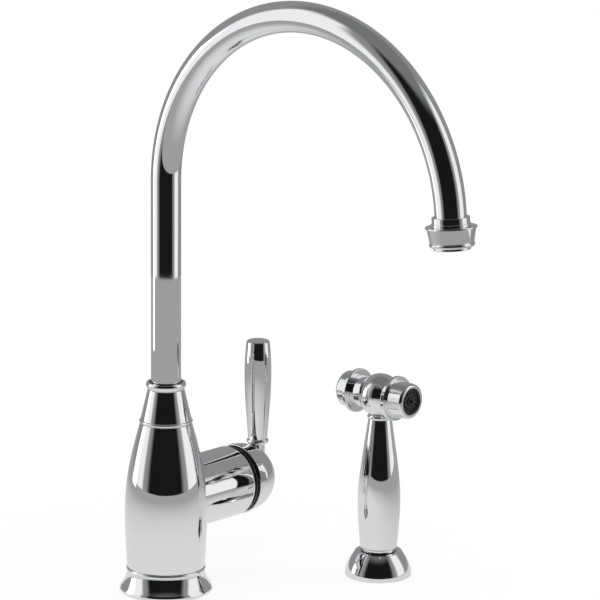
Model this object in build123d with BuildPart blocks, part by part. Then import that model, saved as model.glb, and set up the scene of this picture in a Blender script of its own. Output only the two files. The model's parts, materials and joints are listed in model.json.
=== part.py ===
"""Single-lever kitchen faucet with a swivelling arched spout and a separate pull-out hand spray.

Millimetres. +Z is up, and the origin is the centre of the faucet's seat on the worktop.
The spout points along -Y, the lever housing along +X, and the hand spray stands in its own
holder on the same worktop. Turned pieces are drawn as half sections: station along the
piece's axis first, radius second.
"""

import math
import os

from build123d import *

# ---------------------------------------------------------------- driving dimensions

# fits
screw_gap = 0.05  # radial gap of screwed and pressed pieces
running_gap = 0.08  # radial gap of pieces that turn or slide in each other
clearance = 0.3  # gap between moving faces that do not bear on each other
face_gap = 0.05  # gap between lapped or lightly loaded sliding faces
end_gap = 0.5  # spare room at the end of a socket

# worktop
worktop_thickness = 30.0

# base flange
flange_radius = 34.4
flange_foot_radius = 33.0
flange_lip_height = 2.8
flange_height = 18.5
flange_neck_radius = 28.5
flange_bead_radius = 29.4
gasket_thickness = 2.4
gasket_inner_radius = 26.5
gasket_outer_radius = 30.5

# body shell
body_foot_radius = 28.7
body_belly_radius = 30.3
body_belly_height = 52.0
body_shoulder_radius = 28.9
body_shoulder_height = 84.0
body_neck_radius = 24.3
body_neck_height = 108.0
body_top_radius = 19.2
body_height = 127.6
body_spigot_radius = 23.9
body_bore_radius = 16.2
seam_height = 0.6
seam_depth = 0.9
shell_lift = 1.0  # height of the shell's lower edge above the worktop

# lever housing on the body's side
lever_height = 69.3
housing_radius = 26.3
housing_reach = 71.8
housing_edge_round = 1.6
cartridge_depth = 44.8  # from the housing's mouth to the cartridge's seat
housing_thread_radius = 21.0
housing_thread_depth = 20.3

# bonnet above the body
bonnet_height = 30.9
bonnet_bead_radius = 19.65
bonnet_bead_height = 2.4
bonnet_neck_radius = 13.5
bonnet_collar_radius = 14.7
bonnet_collar_height = 4.6
bonnet_spigot_length = 5.0
bonnet_seam_height = 0.5
bonnet_bore_gap = 0.4
bonnet_cup_gap = 0.7
bonnet_cup_depth = 10.5
bonnet_cup_taper = 2.0
collar_ring_recess = 3.0
collar_ring_height = 2.2
collar_ring_width = 1.6

# spout
tube_radius = 11.0
tube_wall = 1.5
spout_rise = 308.0  # height of the arch's centre
spout_arch_radius = 132.0
spout_sweep = 175.3  # degrees of arc
spout_end_length = 9.0
sleeve_radius = 12.4
sleeve_depth = 24.0
sleeve_passage_radius = 8.5
sleeve_flange_height = 4.0
sleeve_cup_radius = 12.9
sleeve_cup_height = 14.0
thrust_washer_height = 1.2
spout_bush_height = 5.0
o_ring_wire = 1.25  # radius of the seal rings' section
o_ring_heights = (6.0, 14.0)  # above the sleeve's lower end

# nozzle at the end of the spout
nozzle_collar_radius = 13.6
nozzle_collar_length = 6.4
nozzle_collar_lip = 2.0
nozzle_collar_step = 0.5
nozzle_overlap = 1.5  # how far the tube's end reaches into the shroud
nozzle_rim_radius = 17.9
nozzle_rim_height = 1.2
nozzle_taper_radius = 15.2
nozzle_taper_length = 9.8
nozzle_bead_radius = 15.7
nozzle_rim_step = 0.9
nozzle_bead_height = 3.0
aerator_radius = 12.8
aerator_wall = 1.8
aerator_drop = 2.0
aerator_washer_thickness = 1.8
aerator_washer_width = 3.2
aerator_screen_thickness = 4.4
aerator_screen_recess = 0.6
aerator_rim_width = 1.5
aerator_hole_radius = 0.9
aerator_hole_count = 12

# waterway core inside the body
core_seat = 22.0
inlet_circle = 8.6
inlet_radius = 4.6  # tapping hole of an M10 x 1 thread
inlet_depth = 16.0
passage_radius = 2.7
diverter_radius = 8.9
diverter_length = 12.0
diverter_bore_radius = 2.0
diverter_groove_depth = 1.6
diverter_groove_start = 1.5
diverter_groove_margin = 3.0

# deck fixing
shank_radius = 16.5  # M33 thread
shank_bore_radius = 13.5
shank_tail = 45.0
shank_chamfer = 1.0
rubber_thickness = 3.0
clamp_thickness = 2.5
clamp_radius = 28.0
nut_height = 12.0
nut_corner_radius = 25.5

# ceramic cartridge, stations along +X
cartridge_radius = 17.6
cartridge_cavity_radius = 15.0
cartridge_base_length = 3.0
cartridge_port_circle = 8.6
cartridge_port_radius = 2.6
port_seal_width = 1.6
port_seal_height = 1.5
fixed_disc_length = 4.0
moving_disc_length = 3.45
moving_disc_radius = 10.4
mixing_chamber_depth = 1.6
mixing_chamber_margin = 3.5
carrier_length = 4.0
rotor_flange_length = 3.4
rotor_radius = 12.5
rotor_length = 15.4
case_shoulder_length = 25.4
case_neck_radius = 14.6
case_neck_length = 4.5
retaining_nut_length = 11.5
retaining_nut_gap = 0.1
spanner_slot_width = 5.0
spanner_slot_depth = 3.0
shroud_sphere_radius = 31.3
shroud_hole_radius = 15.0
shroud_reach = 3.2
spindle_side = 7.0
spindle_neck_radius = 1.8
spindle_neck_end = 3.0  # beyond the rotor's inner face
spindle_tip_radius = 2.6
spindle_tip_arm = 9.5
spindle_pin_radius = 1.5
pivot_depth = 21.8  # from the housing's mouth in to the spindle's pin
flow_travel = 20.0  # degrees the lever lifts

# handle
cap_groove = 3.8
cap_ring_radius = 26.6
cap_ring_width = 3.4
cap_dome_radius = 25.8
cap_dome_straight = 3.0
cap_skirt_inner_radius = 24.2
cap_middle_inner_radius = 23.0
cap_end_inner_radius = 15.0
cap_boss_radius = 8.5
cap_boss_length = 11.0
cap_cavity_length = 17.4
stem_offset = 19.0  # lever stem's axis beyond the dome's centre
stem_radius = 5.5
stem_tenon_radius = 3.0
stem_tenon_length = 6.0
stem_socket_height = 7.5
stem_top = 23.2
grip_length = 79.5
grip_bead_radius = 8.3
grip_waist_radius = 7.2
grip_belly_radius = 10.1
grip_top_radius = 8.7
grip_tenon_depth = 20.0
grub_radius = 2.0
grub_length = 7.0
grub_key_radius = 1.15
grub_key_depth = 2.5

# hand spray's holder
spray_x = 136.5
spray_y = -90.5
bell_radius = 25.0
bell_foot_radius = 24.2
bell_height = 18.6
bell_top_radius = 17.3
bell_lip_height = 2.6
bell_gasket_thickness = 2.0
bell_gasket_inner_radius = 17.0
bell_gasket_outer_radius = 21.0
liner_flange_radius = 15.3
liner_flange_height = 2.6
liner_radius = 12.85
liner_bore_radius = 12.0
liner_length = 38.0
spray_shank_radius = 14.0
spray_shank_top = 12.5
spray_shank_tail = 30.0
spray_clamp_radius = 22.0
spray_nut_corner_radius = 21.5
spray_nut_height = 9.0

# hand spray
handle_foot_radius = 13.8
handle_swell_radius = 15.9
handle_swell_height = 61.0
handle_waist_radius = 12.3
handle_waist_height = 96.3
handle_neck_radius = 8.8
handle_top = 121.0
handle_passage_radius = 3.4
adaptor_radius = 11.5
adaptor_tail = 6.0
adaptor_nipple_radius = 8.0
adaptor_nipple_length = 14.0
hose_thread_radius = 6.95  # tapping hole of an M15 x 1 thread
hose_thread_depth = 14.0
adaptor_seal_height = 5.0
adaptor_passage_radius = 4.4
clip_width = 1.2
clip_depth = 0.7
clip_setback = 3.0
groove_gap = 0.1
neck_collar_radius = 9.6
neck_collar_height = 3.3
neck_tenon_radius = 5.0
neck_tenon_length = 6.2

# spray head, stations forward from the ball's centre
ball_radius = 16.3
ball_height = 138.6
ball_front = 13.4
chamber_radius = 7.5
inner_reach = 5.0  # rear guide's inner end behind the ball's centre
gland_radius = 4.4
gland_depth = 3.0
stem_seal_length = 2.4
nozzle_flange_radius = 16.8
nozzle_flange_width = 3.5
barrel_rear_radius = 14.0
barrel_front_radius = 13.2
barrel_length = 13.5
barrel_lip_round = 2.0
barrel_bore_radius = 8.5
poppet_bore_radius = 5.9
retainer_thickness = 1.6
retainer_hole_circle = 6.4
retainer_hole_radius = 1.2
retainer_hole_count = 6
face_washer_thickness = 1.0
face_radius = 10.1
face_length = 5.6
face_recess = 0.8
face_dish_depth = 0.8
face_dish_radius = 8.7
face_hub_radius = 3.0
face_plate_thickness = 2.6
face_wall = 1.5
face_hole_count = 12
face_hole_circle = 6.6
face_hole_radius = 0.8
face_centre_radius = 1.6
rear_neck_radius = 11.7
rear_neck_reach = 24.5
rear_flange_radius = 16.5
rear_flange_reach = 20.5
rear_flange_width = 2.9
knob_radius = 13.5
knob_length = 10.2
knob_edge_round = 3.0
button_travel = 4.0
button_spare_travel = 1.0
stem_socket_depth = 2.5
valve_stem_radius = 2.0
valve_seat_station = 4.0
valve_seat_length = 3.0
valve_seat_hole = 4.0
poppet_radius = 5.2
poppet_length = 2.5
spring_wire_radius = 0.35
spring_turns = 3

# ---------------------------------------------------------------- planes and axes


def turning_plane(origin, along, outward):
    """Sketch plane of a turned piece: local x runs along the axis, local y outward."""
    along = Vector(*along)
    outward = Vector(*outward)
    return Plane(origin=origin, x_dir=along, z_dir=along.cross(outward))


lever_origin = (0, 0, lever_height)
spray_origin = (spray_x, spray_y, 0)
head_origin = (spray_x, spray_y, ball_height)

sweep_angle = math.radians(spout_sweep)
spout_tangent = (0, -math.sin(sweep_angle), math.cos(sweep_angle))
arch_end = (
    0,
    -spout_arch_radius + spout_arch_radius * math.cos(sweep_angle),
    spout_rise + spout_arch_radius * math.sin(sweep_angle),
)

body_axis = Axis.Z
lever_axis = Axis(lever_origin, (1, 0, 0))
spray_axis = Axis(spray_origin, (0, 0, 1))
head_axis = Axis(head_origin, (0, -1, 0))
nozzle_axis = Axis(arch_end, spout_tangent)

body_section = turning_plane((0, 0, 0), (0, 0, 1), (1, 0, 0))
lever_section = turning_plane(lever_origin, (1, 0, 0), (0, 0, 1))
spray_section = turning_plane(spray_origin, (0, 0, 1), (1, 0, 0))
head_section = turning_plane(head_origin, (0, -1, 0), (0, 0, 1))
nozzle_section = turning_plane(arch_end, spout_tangent, (1, 0, 0))


def ring(low, high, inner, outer, mode=Mode.ADD):
    """Half section of a turned ring between two stations and two radii."""
    with Locations(((low + high) / 2, (inner + outer) / 2)):
        Rectangle(high - low, outer - inner, mode=mode)


def cross_plane(section, station):
    """Plane across a turned piece's axis at a station, facing forward along the axis."""
    return Plane(
        origin=section.origin + section.x_dir * station,
        x_dir=section.y_dir,
        z_dir=section.x_dir,
    )


def o_ring(section, axis, station, outer_radius, wire):
    """Round seal ring whose outside lies at a given radius."""
    with BuildPart() as seal:
        with BuildSketch(section):
            with Locations((station, outer_radius - wire)):
                Circle(wire)
        revolve(axis=axis)
    return seal.part


# ---------------------------------------------------------------- stations that follow

# body stack, heights
bonnet_bottom = body_height - bonnet_spigot_length
sleeve_flange_radius = body_bore_radius - clearance
bush_bottom = bonnet_bottom - spout_bush_height
sleeve_flange_top = bush_bottom - face_gap
sleeve_flange_bottom = sleeve_flange_top - sleeve_flange_height
core_top = sleeve_flange_bottom - face_gap - thrust_washer_height
sleeve_bottom = sleeve_flange_bottom - sleeve_depth
socket_bottom = sleeve_bottom - 2 * end_gap
diverter_top = socket_bottom - end_gap
diverter_bottom = diverter_top - diverter_length
core_radius = body_bore_radius - screw_gap
bonnet_top = body_height + bonnet_height

# cartridge stack, stations along +X
cartridge_seat = housing_reach - cartridge_depth
pivot_reach = housing_reach - pivot_depth
base_end = cartridge_seat + cartridge_base_length
fixed_disc_end = base_end + fixed_disc_length
moving_disc_start = fixed_disc_end + face_gap
moving_disc_end = moving_disc_start + moving_disc_length
carrier_end = moving_disc_end + carrier_length
rotor_start = carrier_end + end_gap
rotor_flange_end = rotor_start + rotor_flange_length
case_ceiling = rotor_flange_end + running_gap
rotor_end = rotor_start + rotor_length
case_shoulder = cartridge_seat + case_shoulder_length
case_end = case_shoulder + case_neck_length
nut_end = case_shoulder + retaining_nut_length
cap_start = housing_reach + cap_groove
cap_ring_end = cap_start + cap_ring_width
dome_centre = cap_ring_end + cap_dome_straight
dome_pole = dome_centre + cap_dome_radius
cap_cavity_end = cap_start + cap_cavity_length
boss_start = cap_cavity_end - cap_boss_length
stem_x = dome_centre + stem_offset
stem_base_height = lever_height + stem_socket_height
stem_top_height = lever_height + stem_top

# nozzle stations
nozzle_collar_start = spout_end_length - nozzle_overlap - nozzle_collar_length
nozzle_rim = nozzle_collar_start + nozzle_collar_length
nozzle_taper_start = nozzle_rim + nozzle_rim_height
nozzle_taper_end = nozzle_taper_start + nozzle_taper_length
nozzle_end = nozzle_taper_end + nozzle_bead_height
aerator_seat = spout_end_length + clearance
aerator_washer_end = aerator_seat + aerator_washer_thickness
aerator_end = nozzle_end + aerator_drop
screen_end = aerator_end - aerator_screen_recess
screen_start = screen_end - aerator_screen_thickness

# holder and hand spray heights
liner_top = bell_height + end_gap
liner_flange_bottom = liner_top - liner_flange_height
adaptor_shoulder = liner_top - clearance
adaptor_top = adaptor_shoulder + adaptor_nipple_length
clip_bottom = adaptor_top - clip_setback
seal_station = adaptor_shoulder + adaptor_seal_height
collar_top = handle_top + neck_collar_height

# head stations
nozzle_flange_front = ball_front + nozzle_flange_width
barrel_end = nozzle_flange_front + barrel_length
seat_end = valve_seat_station + valve_seat_length
inner_bush_start = seat_end + poppet_length * 0.6
gland_floor = inner_reach + gland_depth
poppet_end = seat_end + poppet_length
spring_end = nozzle_flange_front
face_front = barrel_end - face_recess
face_back = face_front - face_length
face_washer_back = face_back - face_washer_thickness
rear_cut = math.sqrt(ball_radius**2 - rear_neck_radius**2)
flange_rear = rear_flange_reach + rear_flange_width
knob_end = flange_rear + knob_length
knob_cavity = rear_neck_reach + button_travel + button_spare_travel

# ---------------------------------------------------------------- faucet body

with BuildPart() as base_flange:
    with BuildSketch(body_section):
        with BuildLine():
            bore = body_spigot_radius + screw_gap
            foot = Line((0, bore), (0, flange_foot_radius))
            lip = ThreePointArc(
                foot @ 1,
                (flange_lip_height * 0.4, flange_radius - 0.25),
                (flange_lip_height, flange_radius),
            )
            lip_top = Line(lip @ 1, (flange_lip_height + 1.4, flange_radius - 0.8))
            sweep_line = Spline(
                lip_top @ 1,
                (flange_height * 0.42, (flange_radius + flange_neck_radius) / 2 - 0.1),
                (flange_height * 0.72, flange_neck_radius + 0.5),
                (flange_height - 2.4, flange_neck_radius),
            )
            bead = ThreePointArc(
                sweep_line @ 1,
                (flange_height - 1.2, flange_bead_radius),
                (flange_height, flange_bead_radius - 0.6),
            )
            Polyline(bead @ 1, (flange_height, bore), foot @ 0)
        make_face()
        ring(0, gasket_thickness, gasket_inner_radius, gasket_outer_radius, Mode.SUBTRACT)
    revolve(axis=body_axis)

with BuildPart() as flange_gasket:
    with BuildSketch(body_section):
        ring(
            0,
            gasket_thickness,
            gasket_inner_radius + screw_gap,
            gasket_outer_radius - screw_gap,
        )
    revolve(axis=body_axis)


def cartridge_ports(section, station, depth, radius):
    """Three water ports on the cartridge's port circle, cut forward from a station."""
    with Locations(cross_plane(section, station)):
        with PolarLocations(cartridge_port_circle, 3):
            Cylinder(
                radius,
                depth,
                align=(Align.CENTER, Align.CENTER, Align.MIN),
                mode=Mode.SUBTRACT,
            )


with BuildPart() as body_shell:
    with BuildSketch(body_section):
        with BuildLine():
            skirt = Polyline(
                (shell_lift, shank_radius + screw_gap),
                (shell_lift, body_spigot_radius),
                (flange_height, body_spigot_radius),
                (flange_height, body_foot_radius - seam_depth),
                (flange_height + seam_height, body_foot_radius - seam_depth),
                (flange_height + seam_height, body_foot_radius),
            )
            belly = Spline(
                skirt @ 1,
                (body_belly_height, body_belly_radius),
                (body_shoulder_height, body_shoulder_radius),
                (body_neck_height, body_neck_radius),
                (body_height, body_top_radius),
            )
            Polyline(
                belly @ 1,
                (body_height, body_bore_radius),
                (core_seat, body_bore_radius),
                (core_seat, shank_radius + screw_gap),
                skirt @ 0,
            )
        make_face()
    revolve(axis=body_axis)
    with BuildSketch(cross_plane(lever_section, 0)):
        Circle(housing_radius)
    extrude(amount=housing_reach)
    mouth_edge = body_shell.faces().sort_by(Axis.X)[-1].edges()
    fillet(mouth_edge, housing_edge_round)
    with BuildSketch(cross_plane(body_section, core_seat)):
        Circle(body_bore_radius)
    extrude(amount=body_height - core_seat, mode=Mode.SUBTRACT)
    with BuildSketch(cross_plane(lever_section, cartridge_seat)):
        Circle(cartridge_radius + screw_gap)
    extrude(amount=housing_reach, mode=Mode.SUBTRACT)
    with BuildSketch(cross_plane(lever_section, housing_reach - housing_thread_depth)):
        Circle(housing_thread_radius + screw_gap)
    extrude(amount=housing_reach, mode=Mode.SUBTRACT)
    cartridge_ports(lever_section, 0, cartridge_seat + 1, passage_radius)

with BuildPart() as spout_bonnet:
    with BuildSketch(body_section):
        with BuildLine():
            seam_top = body_height + bonnet_seam_height
            seam_radius = body_top_radius - 0.4
            bead_top = seam_top + bonnet_bead_height
            collar_base = bonnet_top - bonnet_collar_height
            cup_radius = sleeve_cup_radius + bonnet_cup_gap
            tube_bore = tube_radius + bonnet_bore_gap
            spigot = Polyline(
                (bonnet_bottom, cup_radius),
                (bonnet_bottom, core_radius),
                (body_height, core_radius),
                (body_height, seam_radius),
                (seam_top, seam_radius),
            )
            seam_bead = ThreePointArc(
                spigot @ 1,
                ((seam_top + bead_top) / 2, bonnet_bead_radius),
                (bead_top, seam_radius),
            )
            cone = Polyline(
                seam_bead @ 1,
                (collar_base - 0.8, bonnet_neck_radius),
                (collar_base, bonnet_neck_radius),
            )
            collar_bead = ThreePointArc(
                cone @ 1,
                (collar_base + bonnet_collar_height / 2, bonnet_collar_radius),
                (bonnet_top, bonnet_neck_radius + 0.5),
            )
            Polyline(
                collar_bead @ 1,
                (bonnet_top, tube_radius + collar_ring_width),
                (bonnet_top - collar_ring_recess, tube_radius + collar_ring_width),
                (bonnet_top - collar_ring_recess, tube_bore),
                (bonnet_bottom + bonnet_cup_depth + bonnet_cup_taper, tube_bore),
                (bonnet_bottom + bonnet_cup_depth, cup_radius),
                spigot @ 0,
            )
        make_face()
    revolve(axis=body_axis)

with BuildPart() as waterway_core:
    with BuildSketch(body_section):
        ring(core_seat, core_top, 0, core_radius)
        ring(diverter_bottom, core_top, 0, diverter_radius + screw_gap, Mode.SUBTRACT)
        ring(socket_bottom, core_top, 0, sleeve_radius + running_gap, Mode.SUBTRACT)
    revolve(axis=body_axis)
    with Locations(cross_plane(body_section, core_seat)):
        with PolarLocations(inlet_circle, 3):
            Cylinder(
                inlet_radius,
                inlet_depth,
                align=(Align.CENTER, Align.CENTER, Align.MIN),
                mode=Mode.SUBTRACT,
            )
            Cylinder(
                passage_radius,
                lever_height - cartridge_port_circle / 2 - core_seat,
                align=(Align.CENTER, Align.CENTER, Align.MIN),
                mode=Mode.SUBTRACT,
            )
    cartridge_ports(
        lever_section, -inlet_circle / 2, core_radius + 1 + inlet_circle / 2, passage_radius
    )
    with Locations((inlet_circle, 0, core_seat)):
        Cylinder(
            passage_radius,
            diverter_bottom - core_seat,
            align=(Align.CENTER, Align.CENTER, Align.MIN),
            mode=Mode.SUBTRACT,
        )

with BuildPart() as diverter_valve:
    with BuildSketch(body_section):
        ring(diverter_bottom, diverter_top, diverter_bore_radius, diverter_radius)
        ring(
            diverter_bottom + diverter_groove_start,
            diverter_top - diverter_groove_margin,
            diverter_radius - diverter_groove_depth,
            diverter_radius,
            Mode.SUBTRACT,
        )
    revolve(axis=body_axis)

# ---------------------------------------------------------------- fixing under the worktop

shank_end = -(worktop_thickness + shank_tail)
spray_shank_end = -(worktop_thickness + spray_shank_tail)

with BuildPart() as mounting_shank:
    with BuildSketch(body_section):
        ring(shank_end, core_seat, shank_bore_radius, shank_radius)
    revolve(axis=body_axis)
    end_edges = mounting_shank.edges().group_by(Axis.Z)[0]
    chamfer(end_edges.sort_by(SortBy.RADIUS)[-1], shank_chamfer)


def clamp_ring(section, axis, top, thickness, inner, outer):
    """Flat ring that clamps the worktop from below."""
    with BuildPart() as flat_ring:
        with BuildSketch(section):
            ring(top - thickness, top, inner, outer)
        revolve(axis=axis)
    return flat_ring.part


def hexagon_nut(section, top, height, bore, corner_radius):
    """Hexagon nut below a clamp ring."""
    with BuildPart() as nut:
        with BuildSketch(cross_plane(section, top - height)):
            RegularPolygon(corner_radius, 6)
            Circle(bore, mode=Mode.SUBTRACT)
        extrude(amount=height)
    return nut.part


clamp_top = -worktop_thickness - rubber_thickness
nut_top = clamp_top - clamp_thickness

shank_rubber_washer = clamp_ring(
    body_section,
    body_axis,
    -worktop_thickness,
    rubber_thickness,
    shank_radius + clearance,
    clamp_radius,
)
shank_clamp_plate = clamp_ring(
    body_section,
    body_axis,
    clamp_top,
    clamp_thickness,
    shank_radius + clearance,
    clamp_radius,
)
shank_nut = hexagon_nut(
    body_section, nut_top, nut_height, shank_radius + screw_gap, nut_corner_radius
)

# ---------------------------------------------------------------- ceramic cartridge

with BuildPart() as cartridge_base:
    with BuildSketch(lever_section):
        ring(cartridge_seat, base_end, 0, cartridge_radius)
    revolve(axis=lever_axis)
    cartridge_ports(lever_section, cartridge_seat, cartridge_base_length, cartridge_port_radius)
    cartridge_ports(
        lever_section, cartridge_seat, port_seal_height, cartridge_port_radius + port_seal_width
    )

with BuildPart() as cartridge_seals:
    with Locations(cross_plane(lever_section, cartridge_seat)):
        with PolarLocations(cartridge_port_circle, 3):
            Cylinder(
                cartridge_port_radius + port_seal_width - screw_gap,
                port_seal_height,
                align=(Align.CENTER, Align.CENTER, Align.MIN),
            )
    cartridge_ports(lever_section, cartridge_seat, port_seal_height, cartridge_port_radius)

with BuildPart() as cartridge_case:
    with BuildSketch(lever_section):
        ring(base_end, case_shoulder, 0, cartridge_radius)
        ring(case_shoulder, case_end, 0, case_neck_radius)
        ring(base_end, case_ceiling, 0, cartridge_cavity_radius, Mode.SUBTRACT)
        ring(case_ceiling, case_end, 0, rotor_radius + running_gap, Mode.SUBTRACT)
    revolve(axis=lever_axis)

with BuildPart() as cartridge_fixed_disc:
    with BuildSketch(lever_section):
        ring(base_end, fixed_disc_end, 0, cartridge_cavity_radius - screw_gap)
    revolve(axis=lever_axis)
    cartridge_ports(lever_section, base_end, fixed_disc_length, cartridge_port_radius)

with BuildPart() as cartridge_moving_disc:
    with BuildSketch(lever_section):
        ring(moving_disc_start, moving_disc_end, 0, moving_disc_radius)
        ring(
            moving_disc_start,
            moving_disc_start + mixing_chamber_depth,
            0,
            moving_disc_radius - mixing_chamber_margin,
            Mode.SUBTRACT,
        )
    revolve(axis=lever_axis)

with BuildPart() as disc_carrier:
    with BuildSketch(lever_section):
        ring(moving_disc_end, carrier_end, 0, moving_disc_radius)
        ring(moving_disc_end, carrier_end, 0, spindle_tip_radius + clearance, Mode.SUBTRACT)
    revolve(axis=lever_axis)

with BuildPart() as cartridge_rotor:
    with BuildSketch(lever_section):
        ring(rotor_start, rotor_flange_end, 0, cartridge_cavity_radius - running_gap)
        ring(rotor_flange_end, rotor_end, 0, rotor_radius)
    revolve(axis=lever_axis)
    swing = math.tan(math.radians(flow_travel))
    slot_half = (rotor_end - pivot_reach) * swing + spindle_side * 0.75
    with BuildSketch(cross_plane(lever_section, rotor_start)):
        Rectangle(2 * slot_half, spindle_side + 2 * clearance)
    extrude(amount=rotor_length, mode=Mode.SUBTRACT)
    with Locations(Location((pivot_reach, 0, lever_height), (90, 0, 0))):
        Cylinder(spindle_pin_radius + screw_gap, 2 * rotor_radius + 2, mode=Mode.SUBTRACT)

with BuildPart() as spindle_pin:
    with Locations(Location((pivot_reach, 0, lever_height), (90, 0, 0))):
        Cylinder(spindle_pin_radius, 2 * (rotor_radius - 0.5))

with BuildPart() as cartridge_retaining_nut:
    with BuildSketch(lever_section):
        ring(case_shoulder, nut_end, case_neck_radius + retaining_nut_gap, housing_thread_radius)
    revolve(axis=lever_axis)
    with BuildSketch(cross_plane(lever_section, nut_end)):
        Rectangle(2 * housing_radius, spanner_slot_width)
        Rectangle(spanner_slot_width, 2 * housing_radius)
    extrude(amount=-spanner_slot_depth, mode=Mode.SUBTRACT)

with BuildPart() as cartridge_shroud:
    with BuildSketch(lever_section):
        with BuildLine():
            reach = housing_reach - pivot_reach
            rim = math.sqrt(shroud_sphere_radius**2 - reach**2)
            tip = math.sqrt(shroud_sphere_radius**2 - (reach + shroud_reach) ** 2)
            middle = math.sqrt(shroud_sphere_radius**2 - (reach + shroud_reach / 2) ** 2)
            collar = Polyline(
                (nut_end, shroud_hole_radius),
                (nut_end, housing_thread_radius),
                (housing_reach, housing_thread_radius),
                (housing_reach, rim),
            )
            cover = ThreePointArc(
                collar @ 1,
                (housing_reach + shroud_reach / 2, middle),
                (housing_reach + shroud_reach, tip),
            )
            Polyline(cover @ 1, (housing_reach + shroud_reach, shroud_hole_radius), collar @ 0)
        make_face()
    revolve(axis=lever_axis)

# ---------------------------------------------------------------- lever handle

with BuildPart() as cartridge_spindle:
    tip_station = pivot_reach - spindle_tip_arm
    blade_start = rotor_start + spindle_neck_end
    with BuildSketch(lever_section):
        ring(tip_station, blade_start, 0, spindle_neck_radius)
    revolve(axis=lever_axis)
    with Locations((tip_station, 0, lever_height)):
        Sphere(spindle_tip_radius)
    with BuildSketch(cross_plane(lever_section, blade_start)):
        Rectangle(spindle_side, spindle_side)
    extrude(amount=cap_cavity_end - end_gap - blade_start)
    with Locations(Location((pivot_reach, 0, lever_height), (90, 0, 0))):
        Cylinder(spindle_pin_radius + running_gap, 2 * spindle_side, mode=Mode.SUBTRACT)

with BuildPart() as handle_cap:
    with BuildSketch(lever_section):
        with BuildLine():
            bead_edge = 0.6
            skirt = Polyline(
                (cap_start, 0),
                (cap_start, cap_ring_radius - bead_edge),
                (cap_start + bead_edge, cap_ring_radius),
                (cap_ring_end - bead_edge, cap_ring_radius),
                (cap_ring_end, cap_ring_radius - bead_edge),
                (cap_ring_end, cap_dome_radius),
                (dome_centre, cap_dome_radius),
            )
            half = cap_dome_radius / math.sqrt(2)
            dome = ThreePointArc(skirt @ 1, (dome_centre + half, half), (dome_pole, 0))
            Line(dome @ 1, skirt @ 0)
        make_face()
        with BuildLine():
            Polyline(
                (cap_start, 0),
                (cap_start, cap_skirt_inner_radius),
                (dome_centre, cap_middle_inner_radius),
                (cap_cavity_end, cap_end_inner_radius),
                (cap_cavity_end, cap_boss_radius),
                (boss_start, cap_boss_radius),
                (boss_start, 0),
                close=True,
            )
        make_face(mode=Mode.SUBTRACT)
    revolve(axis=lever_axis)
    with BuildSketch(cross_plane(lever_section, boss_start)):
        Rectangle(spindle_side + 2 * screw_gap, spindle_side + 2 * screw_gap)
    extrude(amount=cap_boss_length, mode=Mode.SUBTRACT)
    with Locations((stem_x, 0, stem_base_height)):
        Cylinder(
            stem_radius + screw_gap,
            cap_dome_radius,
            align=(Align.CENTER, Align.CENTER, Align.MIN),
            mode=Mode.SUBTRACT,
        )
        Cylinder(
            stem_tenon_radius + screw_gap,
            stem_tenon_length + end_gap,
            align=(Align.CENTER, Align.CENTER, Align.MAX),
            mode=Mode.SUBTRACT,
        )
    grub_x = boss_start + cap_boss_length / 2
    with Locations((grub_x, 0, lever_height)):
        Cylinder(
            grub_radius + screw_gap,
            cap_ring_radius + 1,
            align=(Align.CENTER, Align.CENTER, Align.MAX),
            mode=Mode.SUBTRACT,
        )

with BuildPart() as handle_grub_screw:
    with Locations((grub_x, 0, lever_height - spindle_side / 2)):
        Cylinder(grub_radius, grub_length, align=(Align.CENTER, Align.CENTER, Align.MAX))
    socket_face = handle_grub_screw.faces().sort_by(Axis.Z)[0]
    with BuildSketch(socket_face):
        RegularPolygon(grub_key_radius, 6)
    extrude(amount=-grub_key_depth, mode=Mode.SUBTRACT)

with BuildPart() as lever_stem:
    with Locations((stem_x, 0, stem_base_height)):
        Cylinder(
            stem_radius,
            stem_top_height - stem_base_height,
            align=(Align.CENTER, Align.CENTER, Align.MIN),
        )
        Cylinder(
            stem_tenon_radius,
            stem_tenon_length,
            align=(Align.CENTER, Align.CENTER, Align.MAX),
        )
    with Locations((stem_x, 0, stem_top_height)):
        Cylinder(
            stem_tenon_radius,
            grip_tenon_depth - end_gap,
            align=(Align.CENTER, Align.CENTER, Align.MIN),
        )

lever_section_upright = turning_plane((stem_x, 0, stem_top_height), (0, 0, 1), (1, 0, 0))
lever_stem_axis = Axis((stem_x, 0, stem_top_height), (0, 0, 1))

with BuildPart() as lever_grip:
    with BuildSketch(lever_section_upright):
        with BuildLine():
            edge = 0.8
            start = Line((0, stem_tenon_radius + screw_gap), (0, grip_bead_radius - 1.0))
            grip_bead = ThreePointArc(start @ 1, (1.8, grip_bead_radius), (3.8, grip_waist_radius))
            swell = Spline(
                grip_bead @ 1,
                (grip_length * 0.36, (grip_waist_radius + grip_belly_radius) / 2 + 0.4),
                (grip_length * 0.66, grip_belly_radius),
                (grip_length - edge, grip_top_radius),
            )
            Polyline(
                swell @ 1,
                (grip_length, grip_top_radius - edge),
                (grip_length, 0),
                (grip_tenon_depth, 0),
                (grip_tenon_depth, stem_tenon_radius + screw_gap),
                start @ 0,
            )
        make_face()
    revolve(axis=lever_stem_axis)

# ---------------------------------------------------------------- spout

with BuildPart() as spout_tube:
    with BuildLine() as spout_path:
        riser = Line((0, 0, sleeve_flange_bottom), (0, 0, spout_rise))
        arch = ThreePointArc(
            riser @ 1,
            (
                0,
                -spout_arch_radius + spout_arch_radius * math.cos(sweep_angle / 2),
                spout_rise + spout_arch_radius * math.sin(sweep_angle / 2),
            ),
            arch_end,
        )
        Line(arch @ 1, arch @ 1 + Vector(*spout_tangent) * spout_end_length)
    with BuildSketch(cross_plane(body_section, sleeve_flange_bottom)):
        Circle(tube_radius)
        Circle(tube_radius - tube_wall, mode=Mode.SUBTRACT)
    sweep()

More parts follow.
